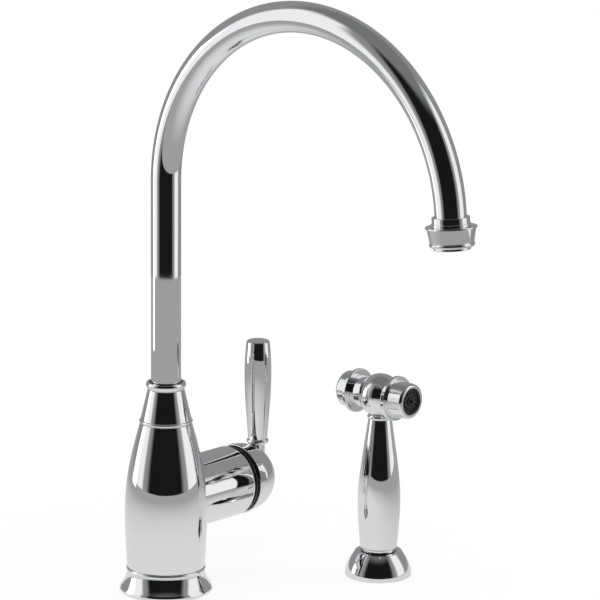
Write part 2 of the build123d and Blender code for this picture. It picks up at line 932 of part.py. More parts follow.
with BuildPart() as spout_stem_sleeve:
    groove = 2 * (o_ring_wire + groove_gap)
    groove_stations = [sleeve_bottom + height for height in o_ring_heights]
    with BuildSketch(body_section):
        ring(sleeve_bottom, sleeve_flange_bottom, sleeve_passage_radius, sleeve_radius)
        ring(sleeve_flange_bottom, sleeve_flange_top, tube_radius + screw_gap, sleeve_flange_radius)
        ring(
            sleeve_flange_top,
            sleeve_flange_top + sleeve_cup_height,
            tube_radius + screw_gap,
            sleeve_cup_radius,
        )
        for station in groove_stations:
            ring(
                station - groove / 2,
                station + groove / 2,
                sleeve_radius - groove,
                sleeve_radius,
                Mode.SUBTRACT,
            )
    revolve(axis=body_axis)

with BuildPart() as spout_o_rings:
    for station in groove_stations:
        add(o_ring(body_section, body_axis, station, sleeve_radius, o_ring_wire))

with BuildPart() as spout_thrust_washer:
    with BuildSketch(body_section):
        ring(
            core_top,
            core_top + thrust_washer_height,
            sleeve_radius + clearance,
            sleeve_flange_radius,
        )
    revolve(axis=body_axis)

with BuildPart() as spout_bush:
    with BuildSketch(body_section):
        ring(bush_bottom, bonnet_bottom, sleeve_cup_radius + running_gap, core_radius)
    revolve(axis=body_axis)

with BuildPart() as spout_collar_ring:
    with BuildSketch(body_section):
        ring(
            bonnet_top - collar_ring_recess,
            bonnet_top - collar_ring_recess + collar_ring_height,
            tube_radius + running_gap,
            tube_radius + collar_ring_width - screw_gap,
        )
    revolve(axis=body_axis)

# ---------------------------------------------------------------- nozzle and aerator

with BuildPart() as nozzle_collar:
    with BuildSketch(nozzle_section):
        ring(
            nozzle_collar_start,
            nozzle_rim,
            tube_radius + screw_gap,
            nozzle_collar_radius - nozzle_collar_step,
        )
        ring(
            nozzle_rim - nozzle_collar_lip,
            nozzle_rim,
            tube_radius + screw_gap,
            nozzle_collar_radius,
        )
    revolve(axis=nozzle_axis)

with BuildPart() as nozzle_shroud:
    with BuildSketch(nozzle_section):
        with BuildLine():
            bore = aerator_radius + screw_gap
            rim = Polyline(
                (nozzle_rim, tube_radius + screw_gap),
                (nozzle_rim, nozzle_rim_radius),
                (nozzle_taper_start, nozzle_rim_radius),
                (nozzle_taper_start, nozzle_rim_radius - nozzle_rim_step),
                (nozzle_taper_end, nozzle_taper_radius),
            )
            foot = ThreePointArc(
                rim @ 1,
                (nozzle_taper_end + nozzle_bead_height / 2, nozzle_bead_radius),
                (nozzle_end, nozzle_taper_radius - 0.6),
            )
            Polyline(
                foot @ 1,
                (nozzle_end, bore),
                (aerator_seat, bore),
                (aerator_seat, tube_radius + screw_gap),
                rim @ 0,
            )
        make_face()
    revolve(axis=nozzle_axis)

with BuildPart() as aerator_washer:
    with BuildSketch(nozzle_section):
        ring(
            aerator_seat,
            aerator_washer_end,
            aerator_radius - aerator_washer_width,
            aerator_radius,
        )
    revolve(axis=nozzle_axis)

with BuildPart() as aerator_housing:
    with BuildSketch(nozzle_section):
        ring(aerator_washer_end, aerator_end, aerator_radius - aerator_wall, aerator_radius)
    revolve(axis=nozzle_axis)

with BuildPart() as aerator_insert:
    insert_radius = aerator_radius - aerator_wall - screw_gap
    with BuildSketch(nozzle_section):
        ring(aerator_washer_end, screen_end, insert_radius - aerator_rim_width, insert_radius)
        ring(screen_start, screen_end, 0, insert_radius)
    revolve(axis=nozzle_axis)
    with BuildSketch(cross_plane(nozzle_section, screen_start)):
        with PolarLocations(insert_radius * 0.72, aerator_hole_count):
            Circle(aerator_hole_radius)
        with PolarLocations(insert_radius * 0.36, aerator_hole_count // 2):
            Circle(aerator_hole_radius)
    extrude(amount=aerator_screen_thickness, mode=Mode.SUBTRACT)

# ---------------------------------------------------------------- hand spray's holder

with BuildPart() as spray_escutcheon:
    with BuildSketch(spray_section):
        with BuildLine():
            bore = spray_shank_radius + screw_gap
            foot = Line((0, bore), (0, bell_foot_radius))
            lip = ThreePointArc(
                foot @ 1,
                (bell_lip_height * 0.46, bell_radius - 0.15),
                (bell_lip_height, bell_radius),
            )
            bell = Spline(
                lip @ 1,
                (bell_height * 0.33, bell_radius - 0.9),
                (bell_height * 0.67, bell_radius - 3.5),
                (bell_height, bell_top_radius),
            )
            Polyline(
                bell @ 1,
                (bell_height, liner_flange_radius + screw_gap),
                (liner_flange_bottom, liner_flange_radius + screw_gap),
                (liner_flange_bottom, bore),
                foot @ 0,
            )
        make_face()
        ring(
            0,
            bell_gasket_thickness,
            bell_gasket_inner_radius,
            bell_gasket_outer_radius,
            Mode.SUBTRACT,
        )
    revolve(axis=spray_axis)

with BuildPart() as escutcheon_gasket:
    with BuildSketch(spray_section):
        ring(
            0,
            bell_gasket_thickness,
            bell_gasket_inner_radius + screw_gap,
            bell_gasket_outer_radius - screw_gap,
        )
    revolve(axis=spray_axis)

with BuildPart() as spray_shank:
    with BuildSketch(spray_section):
        ring(spray_shank_end, spray_shank_top, liner_radius + screw_gap, spray_shank_radius)
    revolve(axis=spray_axis)

with BuildPart() as spray_guide_liner:
    with BuildSketch(spray_section):
        ring(liner_flange_bottom, liner_top, liner_bore_radius, liner_flange_radius)
        ring(liner_top - liner_length, liner_top, liner_bore_radius, liner_radius)
    revolve(axis=spray_axis)

spray_shank_washer = clamp_ring(
    spray_section,
    spray_axis,
    -worktop_thickness,
    rubber_thickness,
    spray_shank_radius + clearance,
    spray_clamp_radius,
)
spray_shank_nut = hexagon_nut(
    spray_section,
    -worktop_thickness - rubber_thickness,
    spray_nut_height,
    spray_shank_radius + screw_gap,
    spray_nut_corner_radius,
)

# ---------------------------------------------------------------- hand spray

with BuildPart() as spray_inlet_adaptor:
    with BuildSketch(spray_section):
        ring(-adaptor_tail, adaptor_shoulder, 0, adaptor_radius)
        ring(adaptor_shoulder, adaptor_top, 0, adaptor_nipple_radius)
        ring(-adaptor_tail, hose_thread_depth - adaptor_tail, 0, hose_thread_radius, Mode.SUBTRACT)
        ring(-adaptor_tail, adaptor_top, 0, adaptor_passage_radius, Mode.SUBTRACT)
        ring(
            seal_station - groove / 2,
            seal_station + groove / 2,
            adaptor_nipple_radius - groove,
            adaptor_nipple_radius,
            Mode.SUBTRACT,
        )
        ring(
            clip_bottom,
            clip_bottom + clip_width + groove_gap,
            adaptor_nipple_radius - clip_depth,
            adaptor_nipple_radius,
            Mode.SUBTRACT,
        )
    revolve(axis=spray_axis)

with BuildPart() as swivel_o_ring:
    add(o_ring(spray_section, spray_axis, seal_station, adaptor_nipple_radius, o_ring_wire))

with BuildPart() as swivel_clip:
    with BuildSketch(spray_section):
        ring(
            clip_bottom + groove_gap / 2,
            clip_bottom + groove_gap / 2 + clip_width,
            adaptor_nipple_radius - clip_depth + screw_gap,
            adaptor_nipple_radius + clip_depth,
        )
    revolve(axis=spray_axis)

with BuildPart() as spray_handle:
    with BuildSketch(spray_section):
        with BuildLine():
            edge = 1.2
            start = Line((liner_top, 0), (liner_top, handle_foot_radius - 0.6))
            toe = ThreePointArc(
                start @ 1,
                (liner_top + 0.4, handle_foot_radius - 0.1),
                (liner_top + edge, handle_foot_radius + 0.1),
            )
            swell = Spline(
                toe @ 1,
                ((liner_top + handle_swell_height) / 2 - 3, handle_swell_radius - 0.8),
                (handle_swell_height, handle_swell_radius),
                (handle_waist_height, handle_waist_radius),
                (handle_top, handle_neck_radius),
            )
            Polyline(swell @ 1, (handle_top, 0), start @ 0)
        make_face()
        ring(
            liner_top,
            adaptor_top + end_gap,
            0,
            adaptor_nipple_radius + running_gap,
            Mode.SUBTRACT,
        )
        ring(
            clip_bottom - clearance,
            clip_bottom + clip_width + clearance,
            0,
            adaptor_nipple_radius + clip_depth + clearance,
            Mode.SUBTRACT,
        )
        ring(adaptor_top, handle_top, 0, handle_passage_radius, Mode.SUBTRACT)
        ring(
            handle_top - neck_tenon_length,
            handle_top,
            0,
            neck_tenon_radius + screw_gap,
            Mode.SUBTRACT,
        )
    revolve(axis=spray_axis)

with BuildPart() as spray_neck_collar:
    with BuildSketch(spray_section):
        with BuildLine():
            foot = Line(
                (handle_top, neck_tenon_radius + screw_gap),
                (handle_top, handle_neck_radius),
            )
            flare = ThreePointArc(
                foot @ 1,
                (handle_top + neck_collar_height * 0.4, neck_collar_radius),
                (collar_top, neck_collar_radius - 1.6),
            )
            Polyline(flare @ 1, (collar_top, neck_tenon_radius + screw_gap), foot @ 0)
        make_face()
    revolve(axis=spray_axis)

with BuildPart() as neck_nipple:
    with BuildSketch(spray_section):
        ring(
            handle_top - neck_tenon_length + clearance,
            collar_top + neck_tenon_length,
            handle_passage_radius,
            neck_tenon_radius,
        )
    revolve(axis=spray_axis)

with BuildPart() as spray_ball:
    with Locations(head_origin):
        Sphere(ball_radius)
    split(bisect_by=Plane(origin=(0, 0, collar_top), z_dir=(0, 0, 1)), keep=Keep.TOP)
    split(bisect_by=cross_plane(head_section, ball_front), keep=Keep.BOTTOM)
    split(bisect_by=cross_plane(head_section, -rear_cut), keep=Keep.TOP)
    with BuildSketch(cross_plane(head_section, -ball_radius)):
        Circle(chamber_radius)
    extrude(amount=2 * ball_radius, mode=Mode.SUBTRACT)
    with BuildSketch(cross_plane(spray_section, collar_top)):
        Circle(neck_tenon_radius + screw_gap)
    extrude(amount=ball_height - collar_top - chamber_radius * 0.8, mode=Mode.SUBTRACT)

with BuildPart() as rear_guide_neck:
    with BuildSketch(head_section):
        ring(-rear_neck_reach, -rear_cut, 0, rear_neck_radius)
        ring(-rear_cut, -inner_reach, 0, chamber_radius - screw_gap)
        ring(-rear_neck_reach, -inner_reach, 0, valve_stem_radius + running_gap, Mode.SUBTRACT)
        ring(-gland_floor, -inner_reach, 0, gland_radius, Mode.SUBTRACT)
    revolve(axis=head_axis)

with BuildPart() as stem_seal:
    with BuildSketch(head_section):
        ring(
            -gland_floor,
            stem_seal_length - gland_floor,
            valve_stem_radius + running_gap,
            gland_radius - screw_gap,
        )
    revolve(axis=head_axis)

with BuildPart() as valve_seat:
    with BuildSketch(head_section):
        ring(valve_seat_station, seat_end, valve_seat_hole, chamber_radius - screw_gap)
    revolve(axis=head_axis)

with BuildPart() as nozzle_sleeve:
    with BuildSketch(head_section):
        with BuildLine():
            flange_edge = 0.7
            back = Polyline(
                (ball_front, 0),
                (ball_front, nozzle_flange_radius - flange_edge),
                (ball_front + flange_edge, nozzle_flange_radius),
                (nozzle_flange_front - flange_edge, nozzle_flange_radius),
                (nozzle_flange_front, nozzle_flange_radius - flange_edge),
                (nozzle_flange_front, barrel_rear_radius),
                (barrel_end - barrel_lip_round, barrel_front_radius),
            )
            lip = ThreePointArc(
                back @ 1,
                (
                    barrel_end - barrel_lip_round * 0.3,
                    barrel_front_radius - barrel_lip_round * 0.35,
                ),
                (barrel_end, barrel_front_radius - barrel_lip_round),
            )
            Polyline(lip @ 1, (barrel_end, 0), back @ 0)
        make_face()
        ring(inner_bush_start, ball_front, 0, chamber_radius - screw_gap)
        ring(inner_bush_start, nozzle_flange_front, 0, poppet_bore_radius, Mode.SUBTRACT)
        ring(nozzle_flange_front, barrel_end, 0, barrel_bore_radius, Mode.SUBTRACT)
        ring(face_washer_back, barrel_end, 0, face_radius + screw_gap, Mode.SUBTRACT)
    revolve(axis=head_axis)

with BuildPart() as spring_retainer:
    with BuildSketch(head_section):
        ring(
            nozzle_flange_front,
            nozzle_flange_front + retainer_thickness,
            0,
            barrel_bore_radius - screw_gap,
        )
    revolve(axis=head_axis)
    with BuildSketch(cross_plane(head_section, nozzle_flange_front)):
        with PolarLocations(retainer_hole_circle, retainer_hole_count):
            Circle(retainer_hole_radius)
    extrude(amount=retainer_thickness, mode=Mode.SUBTRACT)

with BuildPart() as face_washer:
    with BuildSketch(head_section):
        ring(face_washer_back, face_back, face_radius - face_wall, face_radius)
    revolve(axis=head_axis)

with BuildPart() as spray_face:
    with BuildSketch(head_section):
        ring(face_back, face_front, 0, face_radius)
        ring(face_front - face_dish_depth, face_front, 0, face_dish_radius, Mode.SUBTRACT)
        ring(face_front - face_dish_depth, face_front, 0, face_hub_radius)
        ring(face_back, face_front - face_plate_thickness, 0, face_radius - face_wall, Mode.SUBTRACT)
    revolve(axis=head_axis)
    with BuildSketch(cross_plane(head_section, face_back)):
        with PolarLocations(face_hole_circle, face_hole_count):
            Circle(face_hole_radius)
        Circle(face_centre_radius)
    extrude(amount=face_length, mode=Mode.SUBTRACT)

# ---------------------------------------------------------------- spray button and valve

with BuildPart() as spray_button:
    with BuildSketch(head_section):
        with BuildLine():
            flange_edge = 0.7
            front = Polyline(
                (-rear_flange_reach, 0),
                (-rear_flange_reach, rear_flange_radius - flange_edge),
                (-rear_flange_reach - flange_edge, rear_flange_radius),
                (-flange_rear + flange_edge, rear_flange_radius),
                (-flange_rear, rear_flange_radius - flange_edge),
                (-flange_rear, knob_radius),
                (-knob_end + knob_edge_round, knob_radius),
            )
            round_edge = ThreePointArc(
                front @ 1,
                (-knob_end + knob_edge_round * 0.3, knob_radius - knob_edge_round * 0.3),
                (-knob_end, knob_radius - knob_edge_round),
            )
            Polyline(round_edge @ 1, (-knob_end, 0), front @ 0)
        make_face()
        ring(-knob_cavity, -rear_flange_reach, 0, rear_neck_radius + running_gap, Mode.SUBTRACT)
        ring(
            -knob_cavity - stem_socket_depth,
            -rear_flange_reach,
            0,
            valve_stem_radius + screw_gap,
            Mode.SUBTRACT,
        )
    revolve(axis=head_axis)

with BuildPart() as valve_stem:
    with BuildSketch(head_section):
        ring(-knob_cavity - stem_socket_depth, seat_end, 0, valve_stem_radius)
    revolve(axis=head_axis)

with BuildPart() as valve_poppet:
    with BuildSketch(head_section):
        ring(seat_end, poppet_end, 0, poppet_radius)
    revolve(axis=head_axis)

with BuildPart() as button_spring:
    coil_radius = poppet_radius - spring_wire_radius - clearance
    free_length = spring_end - poppet_end - 2 * spring_wire_radius
    with BuildLine():
        coil = Helix(
            pitch=free_length / spring_turns,
            height=free_length,
            radius=coil_radius,
            center=head_section.origin + head_section.x_dir * (poppet_end + spring_wire_radius),
            direction=head_section.x_dir,
        )
    with BuildSketch(Plane(origin=coil @ 0, z_dir=coil % 0)):
        RegularPolygon(spring_wire_radius, 6)
    sweep(is_frenet=True)

# ---------------------------------------------------------------- files

pieces = {
    "base_flange": base_flange.part,
    "flange_gasket": flange_gasket.part,
    "body_shell": body_shell.part,
    "spout_bonnet": spout_bonnet.part,
    "waterway_core": waterway_core.part,
    "diverter_valve": diverter_valve.part,
    "mounting_shank": mounting_shank.part,
    "shank_rubber_washer": shank_rubber_washer,
    "shank_clamp_plate": shank_clamp_plate,
    "shank_nut": shank_nut,
    "cartridge_base": cartridge_base.part,
    "cartridge_seals": cartridge_seals.part,
    "cartridge_case": cartridge_case.part,
    "cartridge_fixed_disc": cartridge_fixed_disc.part,
    "cartridge_moving_disc": cartridge_moving_disc.part,
    "disc_carrier": disc_carrier.part,
    "cartridge_rotor": cartridge_rotor.part,
    "spindle_pin": spindle_pin.part,
    "cartridge_retaining_nut": cartridge_retaining_nut.part,
    "cartridge_shroud": cartridge_shroud.part,
    "cartridge_spindle": cartridge_spindle.part,
    "handle_cap": handle_cap.part,
    "handle_grub_screw": handle_grub_screw.part,
    "lever_stem": lever_stem.part,
    "lever_grip": lever_grip.part,
    "spout_tube": spout_tube.part,
    "spout_stem_sleeve": spout_stem_sleeve.part,
    "spout_o_rings": spout_o_rings.part,
    "spout_thrust_washer": spout_thrust_washer.part,
    "spout_bush": spout_bush.part,
    "spout_collar_ring": spout_collar_ring.part,
    "nozzle_collar": nozzle_collar.part,
    "nozzle_shroud": nozzle_shroud.part,
    "aerator_washer": aerator_washer.part,
    "aerator_housing": aerator_housing.part,
    "aerator_insert": aerator_insert.part,
    "spray_escutcheon": spray_escutcheon.part,
    "escutcheon_gasket": escutcheon_gasket.part,
    "spray_shank": spray_shank.part,
    "spray_guide_liner": spray_guide_liner.part,
    "spray_shank_washer": spray_shank_washer,
    "spray_shank_nut": spray_shank_nut,
    "spray_inlet_adaptor": spray_inlet_adaptor.part,
    "swivel_o_ring": swivel_o_ring.part,
    "swivel_clip": swivel_clip.part,
    "spray_handle": spray_handle.part,
    "spray_neck_collar": spray_neck_collar.part,
    "neck_nipple": neck_nipple.part,
    "spray_ball": spray_ball.part,
    "rear_guide_neck": rear_guide_neck.part,
    "stem_seal": stem_seal.part,
    "valve_seat": valve_seat.part,
    "nozzle_sleeve": nozzle_sleeve.part,
    "spring_retainer": spring_retainer.part,
    "face_washer": face_washer.part,
    "spray_face": spray_face.part,
    "spray_button": spray_button.part,
    "valve_stem": valve_stem.part,
    "valve_poppet": valve_poppet.part,
    "button_spring": button_spring.part,
}

os.makedirs("parts", exist_ok=True)
for name, piece in pieces.items():
    piece.label = name
    export_step(piece, f"parts/{name}.step")
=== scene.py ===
"""Looks of the side spray kitchen faucet: turned and swept chrome pieces round the CAD frame.

The outlines below are in millimetres, in the frame of the CAD model. A turned piece is drawn as a
half section: station along its axis first, radius second.
"""

import json
import math

import bpy
import numpy as np
from mathutils import Matrix, Vector


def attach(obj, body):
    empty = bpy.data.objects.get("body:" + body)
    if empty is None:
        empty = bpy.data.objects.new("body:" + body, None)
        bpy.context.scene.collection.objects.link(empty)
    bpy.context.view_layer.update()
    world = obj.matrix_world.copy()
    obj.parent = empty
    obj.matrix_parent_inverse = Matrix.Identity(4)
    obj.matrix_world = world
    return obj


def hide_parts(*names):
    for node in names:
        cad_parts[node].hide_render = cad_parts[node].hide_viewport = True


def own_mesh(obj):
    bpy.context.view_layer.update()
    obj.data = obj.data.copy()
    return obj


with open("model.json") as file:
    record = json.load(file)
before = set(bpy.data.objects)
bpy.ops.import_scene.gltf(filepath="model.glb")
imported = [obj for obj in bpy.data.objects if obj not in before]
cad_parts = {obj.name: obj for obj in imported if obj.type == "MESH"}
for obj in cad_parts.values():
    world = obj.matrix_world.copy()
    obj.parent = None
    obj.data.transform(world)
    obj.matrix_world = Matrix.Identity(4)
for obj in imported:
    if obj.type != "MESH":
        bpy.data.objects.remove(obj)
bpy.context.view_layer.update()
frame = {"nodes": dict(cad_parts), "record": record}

MM = 0.001
AROUND = 144  # faces round a turned piece

# ---------------------------------------------------------------- camera

CAMERA_PLACE = (-1.9139, -1.7941, 0.8090)
CAMERA_AZIMUTH = math.radians(-48.98)
CAMERA_PITCH = math.radians(12.656)
CAMERA_ROLL = math.radians(-0.469)
LENS = 221.565
SENSOR = 36.0
FRONT = CAMERA_AZIMUTH


def make_camera():
    a, e, r = CAMERA_AZIMUTH, CAMERA_PITCH, CAMERA_ROLL
    back = Vector((math.sin(a) * math.cos(e), -math.cos(a) * math.cos(e), math.sin(e)))
    right = Vector((math.cos(a), math.sin(a), 0.0))
    up = back.cross(right)
    rolled_right = right * math.cos(r) - up * math.sin(r)
    rolled_up = right * math.sin(r) + up * math.cos(r)
    data = bpy.data.cameras.new("camera")
    data.lens = LENS
    data.sensor_width = SENSOR
    data.clip_start = 0.05
    data.clip_end = 50.0
    camera = bpy.data.objects.new("camera", data)
    bpy.context.scene.collection.objects.link(camera)
    turn = Matrix((rolled_right, rolled_up, back)).transposed().to_4x4()
    camera.matrix_world = Matrix.Translation(CAMERA_PLACE) @ turn
    bpy.context.scene.camera = camera


make_camera()

# ---------------------------------------------------------------- outlines


def travelled(points):
    """Distance travelled along a run, at each of its points."""
    steps = np.linalg.norm(np.diff(points, axis=0), axis=1)
    return np.concatenate([[0.0], np.cumsum(steps)])


def end_slope(params, points):
    """Slope at the first point of the polynomial through the first four points."""
    count = min(4, len(points))
    t, p = params[:count], points[:count]
    slope = np.zeros(2)
    for i in range(count):
        if i == 0:
            weight = sum(1.0 / (t[0] - t[j]) for j in range(1, count))
        else:
            weight = 1.0 / (t[i] - t[0])
            for j in range(1, count):
                if j != i:
                    weight *= (t[0] - t[j]) / (t[i] - t[j])
        slope += weight * p[i]
    return slope


class Outline:
    """Half section of a turned piece: runs of points with their directions."""

    def __init__(self, station, radius, edge=0.25):
        self.start = self.here = np.array((station, radius), float)
        self.edge = edge
        self.runs = []
        self.edges = []

    def add(self, points, directions, edge):
        directions = directions / np.linalg.norm(directions, axis=1)[:, None]
        self.runs.append((points, directions))
        self.edges.append(self.edge if edge is None else edge)
        self.here = points[-1]
        return self

    def line(self, station, radius, edge=None):
        target = np.array((station, radius), float)
        direction = target - self.here
        if np.linalg.norm(direction) < 1e-9:
            return self
        return self.add(np.array([self.here, target]), np.array([direction, direction]), edge)

    def lines(self, *corners, edge=None):
        for station, radius in corners:
            self.line(station, radius, edge)
        return self

    def arc(self, middle, target, edge=None):
        a, b, c = self.here, np.array(middle, float), np.array(target, float)
        rows = 2 * np.array([b - a, c - a])
        sums = np.array([b @ b - a @ a, c @ c - a @ a])
        centre = np.linalg.solve(rows, sums)
        start, through, stop = (math.atan2(*(q - centre)[::-1]) for q in (a, b, c))
        turn = (stop - start) % math.tau
        if (through - start) % math.tau > turn:
            turn -= math.tau
        radius = np.linalg.norm(a - centre)
        count = max(7, int(abs(turn) * radius / 0.7) + 2, int(abs(turn) / math.radians(5)) + 2)
        angles = start + turn * np.linspace(0, 1, count)
        points = centre + radius * np.stack([np.cos(angles), np.sin(angles)], 1)
        directions = np.stack([-np.sin(angles), np.cos(angles)], 1) * np.sign(turn)
        return self.add(points, directions, edge)

    def spline(self, *targets, edge=None, step=0.9):
        knots = np.vstack([self.here, np.array(targets, float)])
        t = travelled(knots)
        h = np.diff(t)
        count = len(knots)
        rows = np.zeros((count, count))
        sums = np.zeros((count, 2))
        rows[0, 0] = rows[-1, -1] = 1.0
        sums[0] = end_slope(t, knots)
        sums[-1] = end_slope(t[::-1], knots[::-1])
        for i in range(1, count - 1):
            rows[i, i - 1] = 1 / h[i - 1]
            rows[i, i] = 2 * (1 / h[i - 1] + 1 / h[i])
            rows[i, i + 1] = 1 / h[i]
            before = (knots[i] - knots[i - 1]) / h[i - 1] ** 2
            after = (knots[i + 1] - knots[i]) / h[i] ** 2
            sums[i] = 3 * (before + after)
        slopes = np.linalg.solve(rows, sums)
        points, directions = [], []
        for i in range(count - 1):
            steps = max(3, int(h[i] / step) + 1)
            u = np.linspace(0, 1, steps + 1)[:, None]
            u = u if i == count - 2 else u[:-1]
            p, q, m, n = knots[i], knots[i + 1], slopes[i] * h[i], slopes[i + 1] * h[i]
            points.append(
                (2 * u**3 - 3 * u**2 + 1) * p
                + (u**3 - 2 * u**2 + u) * m
                + (3 * u**2 - 2 * u**3) * q
                + (u**3 - u**2) * n
            )
            directions.append(
                (6 * u**2 - 6 * u) * (p - q) + (3 * u**2 - 4 * u + 1) * m + (3 * u**2 - 2 * u) * n
            )
        return self.add(np.vstack(points), np.vstack(directions), edge)

    def close(self, edge=None):
        return self.line(*self.start, edge=edge)

    def finished(self):
        """Runs with their corners rounded, walked so that outside is on the right."""
        runs = list(self.runs)
        closed = np.linalg.norm(runs[-1][0][-1] - runs[0][0][0]) < 1e-6
        result = []
        for i, run in enumerate(runs):
            before = runs[i - 1] if (i or closed) else None
            after = runs[(i + 1) % len(runs)] if (i + 1 < len(runs) or closed) else None
            head = self.corner(before, run, self.edges[i]) if before else None
            tail = self.corner(run, after, self.edges[(i + 1) % len(runs)]) if after else None
            result.append(cut(run, head or 0.0, tail or 0.0))
            if tail:
                result.append(bend(cut(run, 0, tail), cut(after, tail, 0), run[0][-1]))
        area = 0.0
        for points, _ in result:
            area += np.sum(points[:-1, 0] * points[1:, 1] - points[1:, 0] * points[:-1, 1])
        if area < 0:
            result = [(p[::-1], -d[::-1]) for p, d in result[::-1]]
        return result

    @staticmethod
    def corner(before, after, edge):
        """How far a rounded corner reaches along both of its runs."""
        cosine = float(np.clip(before[1][-1] @ after[1][0], -1, 1))
        angle = math.acos(cosine)
        if edge <= 0 or angle < math.radians(4):
            return None
        shortest = min(travelled(before[0])[-1], travelled(after[0])[-1])
        return min(edge * math.tan(min(angle, 2.6) / 2), 0.42 * shortest)


def cut(run, head, tail):
    """A run without its first and last few tenths."""
    points, directions = run
    t = travelled(points)
    low, high = head, t[-1] - tail
    inside = t[(t > low + 1e-4) & (t < high - 1e-4)]
    wanted = np.concatenate([[low], inside, [high]])
    cut_points = np.stack([np.interp(wanted, t, points[:, k]) for k in (0, 1)], 1)
    cut_directions = np.stack([np.interp(wanted, t, directions[:, k]) for k in (0, 1)], 1)
    return cut_points, cut_directions / np.linalg.norm(cut_directions, axis=1)[:, None]


def bend(before, after, corner, count=6):
    """Rounded corner between the end of one run and the start of the next."""
    u = np.linspace(0, 1, count + 1)[:, None]
    a, b = before[0][-1], after[0][0]
    points = (1 - u) ** 2 * a + 2 * u * (1 - u) * corner + u**2 * b
    directions = 2 * (1 - u) * (corner - a) + 2 * u * (b - corner)
    return points, directions / np.linalg.norm(directions, axis=1)[:, None]


# ---------------------------------------------------------------- meshes


class Place:
    """Axis of a turned piece: origin in millimetres, direction, and a direction across it."""

    def __init__(self, origin, along, across):
        self.origin = np.array(origin, float)
        self.along = np.array(along, float)
        self.across = np.array(across, float)
        self.third = np.cross(self.along, self.across)

    def points(self, stations, radii, angles):
        outward = (
            np.cos(angles)[..., None] * self.across + np.sin(angles)[..., None] * self.third
        )
        return self.origin + stations[..., None] * self.along + radii[..., None] * outward

    def polar(self, points):
        """Station, radius and outward direction of points in millimetres."""
        away = points - self.origin
        stations = away @ self.along
        flat = away - stations[:, None] * self.along
        radii = np.linalg.norm(flat, axis=1)
        return stations, radii, flat / np.maximum(radii, 1e-9)[:, None]


def new_mesh(name, points, faces, normals=None):
    """Mesh object from points in millimetres, faces and, if given, a normal for each corner."""
    mesh = bpy.data.meshes.new(name)
    mesh.from_pydata((points * MM).tolist(), [], faces)
    mesh.polygons.foreach_set("use_smooth", np.ones(len(mesh.polygons), bool))
    if normals is not None:
        mesh.normals_split_custom_set(normals.tolist())
    mesh.update()
    obj = bpy.data.objects.new(name, mesh)
    bpy.context.scene.collection.objects.link(obj)
    return obj


def turned_mesh(name, outline, place):
    """Closed turned mesh with exact normals, whose corners follow the outline's roundings."""
    runs = outline.finished()
    columns = np.arange(AROUND)
    angles = columns * math.tau / AROUND
    following = (columns + 1) % AROUND
    points, faces, normals = [], [], []
    rings = []
    total = 0

    def ring_of(point):
        nonlocal total
        for known, start, size in rings[-1:] + rings[:1]:
            if np.linalg.norm(known - point) < 1e-6:
                return start, size
        size = 1 if point[1] < 1e-6 else AROUND
        spread = angles[:size]
        points.append(
            place.points(np.full(size, point[0]), np.full(size, max(point[1], 0.0)), spread)
        )
        rings.append((point, total, size))
        total += size
        return rings[-1][1:]

    outward = np.cos(angles)[:, None] * place.across + np.sin(angles)[:, None] * place.third
    for run_points, directions in runs:
        for j in range(len(run_points) - 1):
            if np.linalg.norm(run_points[j + 1] - run_points[j]) < 1e-7:
                continue
            low, low_size = ring_of(run_points[j])
            high, high_size = ring_of(run_points[j + 1])
            if low_size == high_size == 1:
                continue
            low_normals = directions[j, 1] * place.along - directions[j, 0] * outward
            high_normals = directions[j + 1, 1] * place.along - directions[j + 1, 0] * outward
            for k in range(AROUND):
                n = following[k]
                if low_size == 1:
                    faces.append((low, high + k, high + n))
                    normals += [low_normals[k], high_normals[k], high_normals[n]]
                elif high_size == 1:
                    faces.append((low + k, high, low + n))
                    normals += [low_normals[k], high_normals[k], low_normals[n]]
                else:
                    faces.append((low + k, high + k, high + n, low + n))
                    normals += [low_normals[k], high_normals[k], high_normals[n], low_normals[n]]
    return new_mesh(name, np.vstack(points), faces, np.array(normals))


def outline_normals(outline, place, points):
    """Exact normals of a turned surface at points that lie on it."""
    runs = outline.finished()
    starts = np.vstack([p[:-1] for p, _ in runs])
    stops = np.vstack([p[1:] for p, _ in runs])
    first = np.vstack([d[:-1] for _, d in runs])
    last = np.vstack([d[1:] for _, d in runs])
    steps = stops - starts
    lengths = np.maximum(np.sum(steps**2, axis=1), 1e-12)
    stations, radii, outward = place.polar(points)
    flat = np.stack([stations, radii], 1)
    found = np.zeros((len(points), 3))
    for i, point in enumerate(flat):
        share = np.clip(np.sum((point - starts) * steps, axis=1) / lengths, 0, 1)
        gaps = np.sum((starts + share[:, None] * steps - point) ** 2, axis=1)
        k = int(np.argmin(gaps))
        direction = first[k] * (1 - share[k]) + last[k] * share[k]
        normal = direction[1] * place.along - direction[0] * outward[i]
        found[i] = normal / np.linalg.norm(normal)
    return found


# ---------------------------------------------------------------- materials


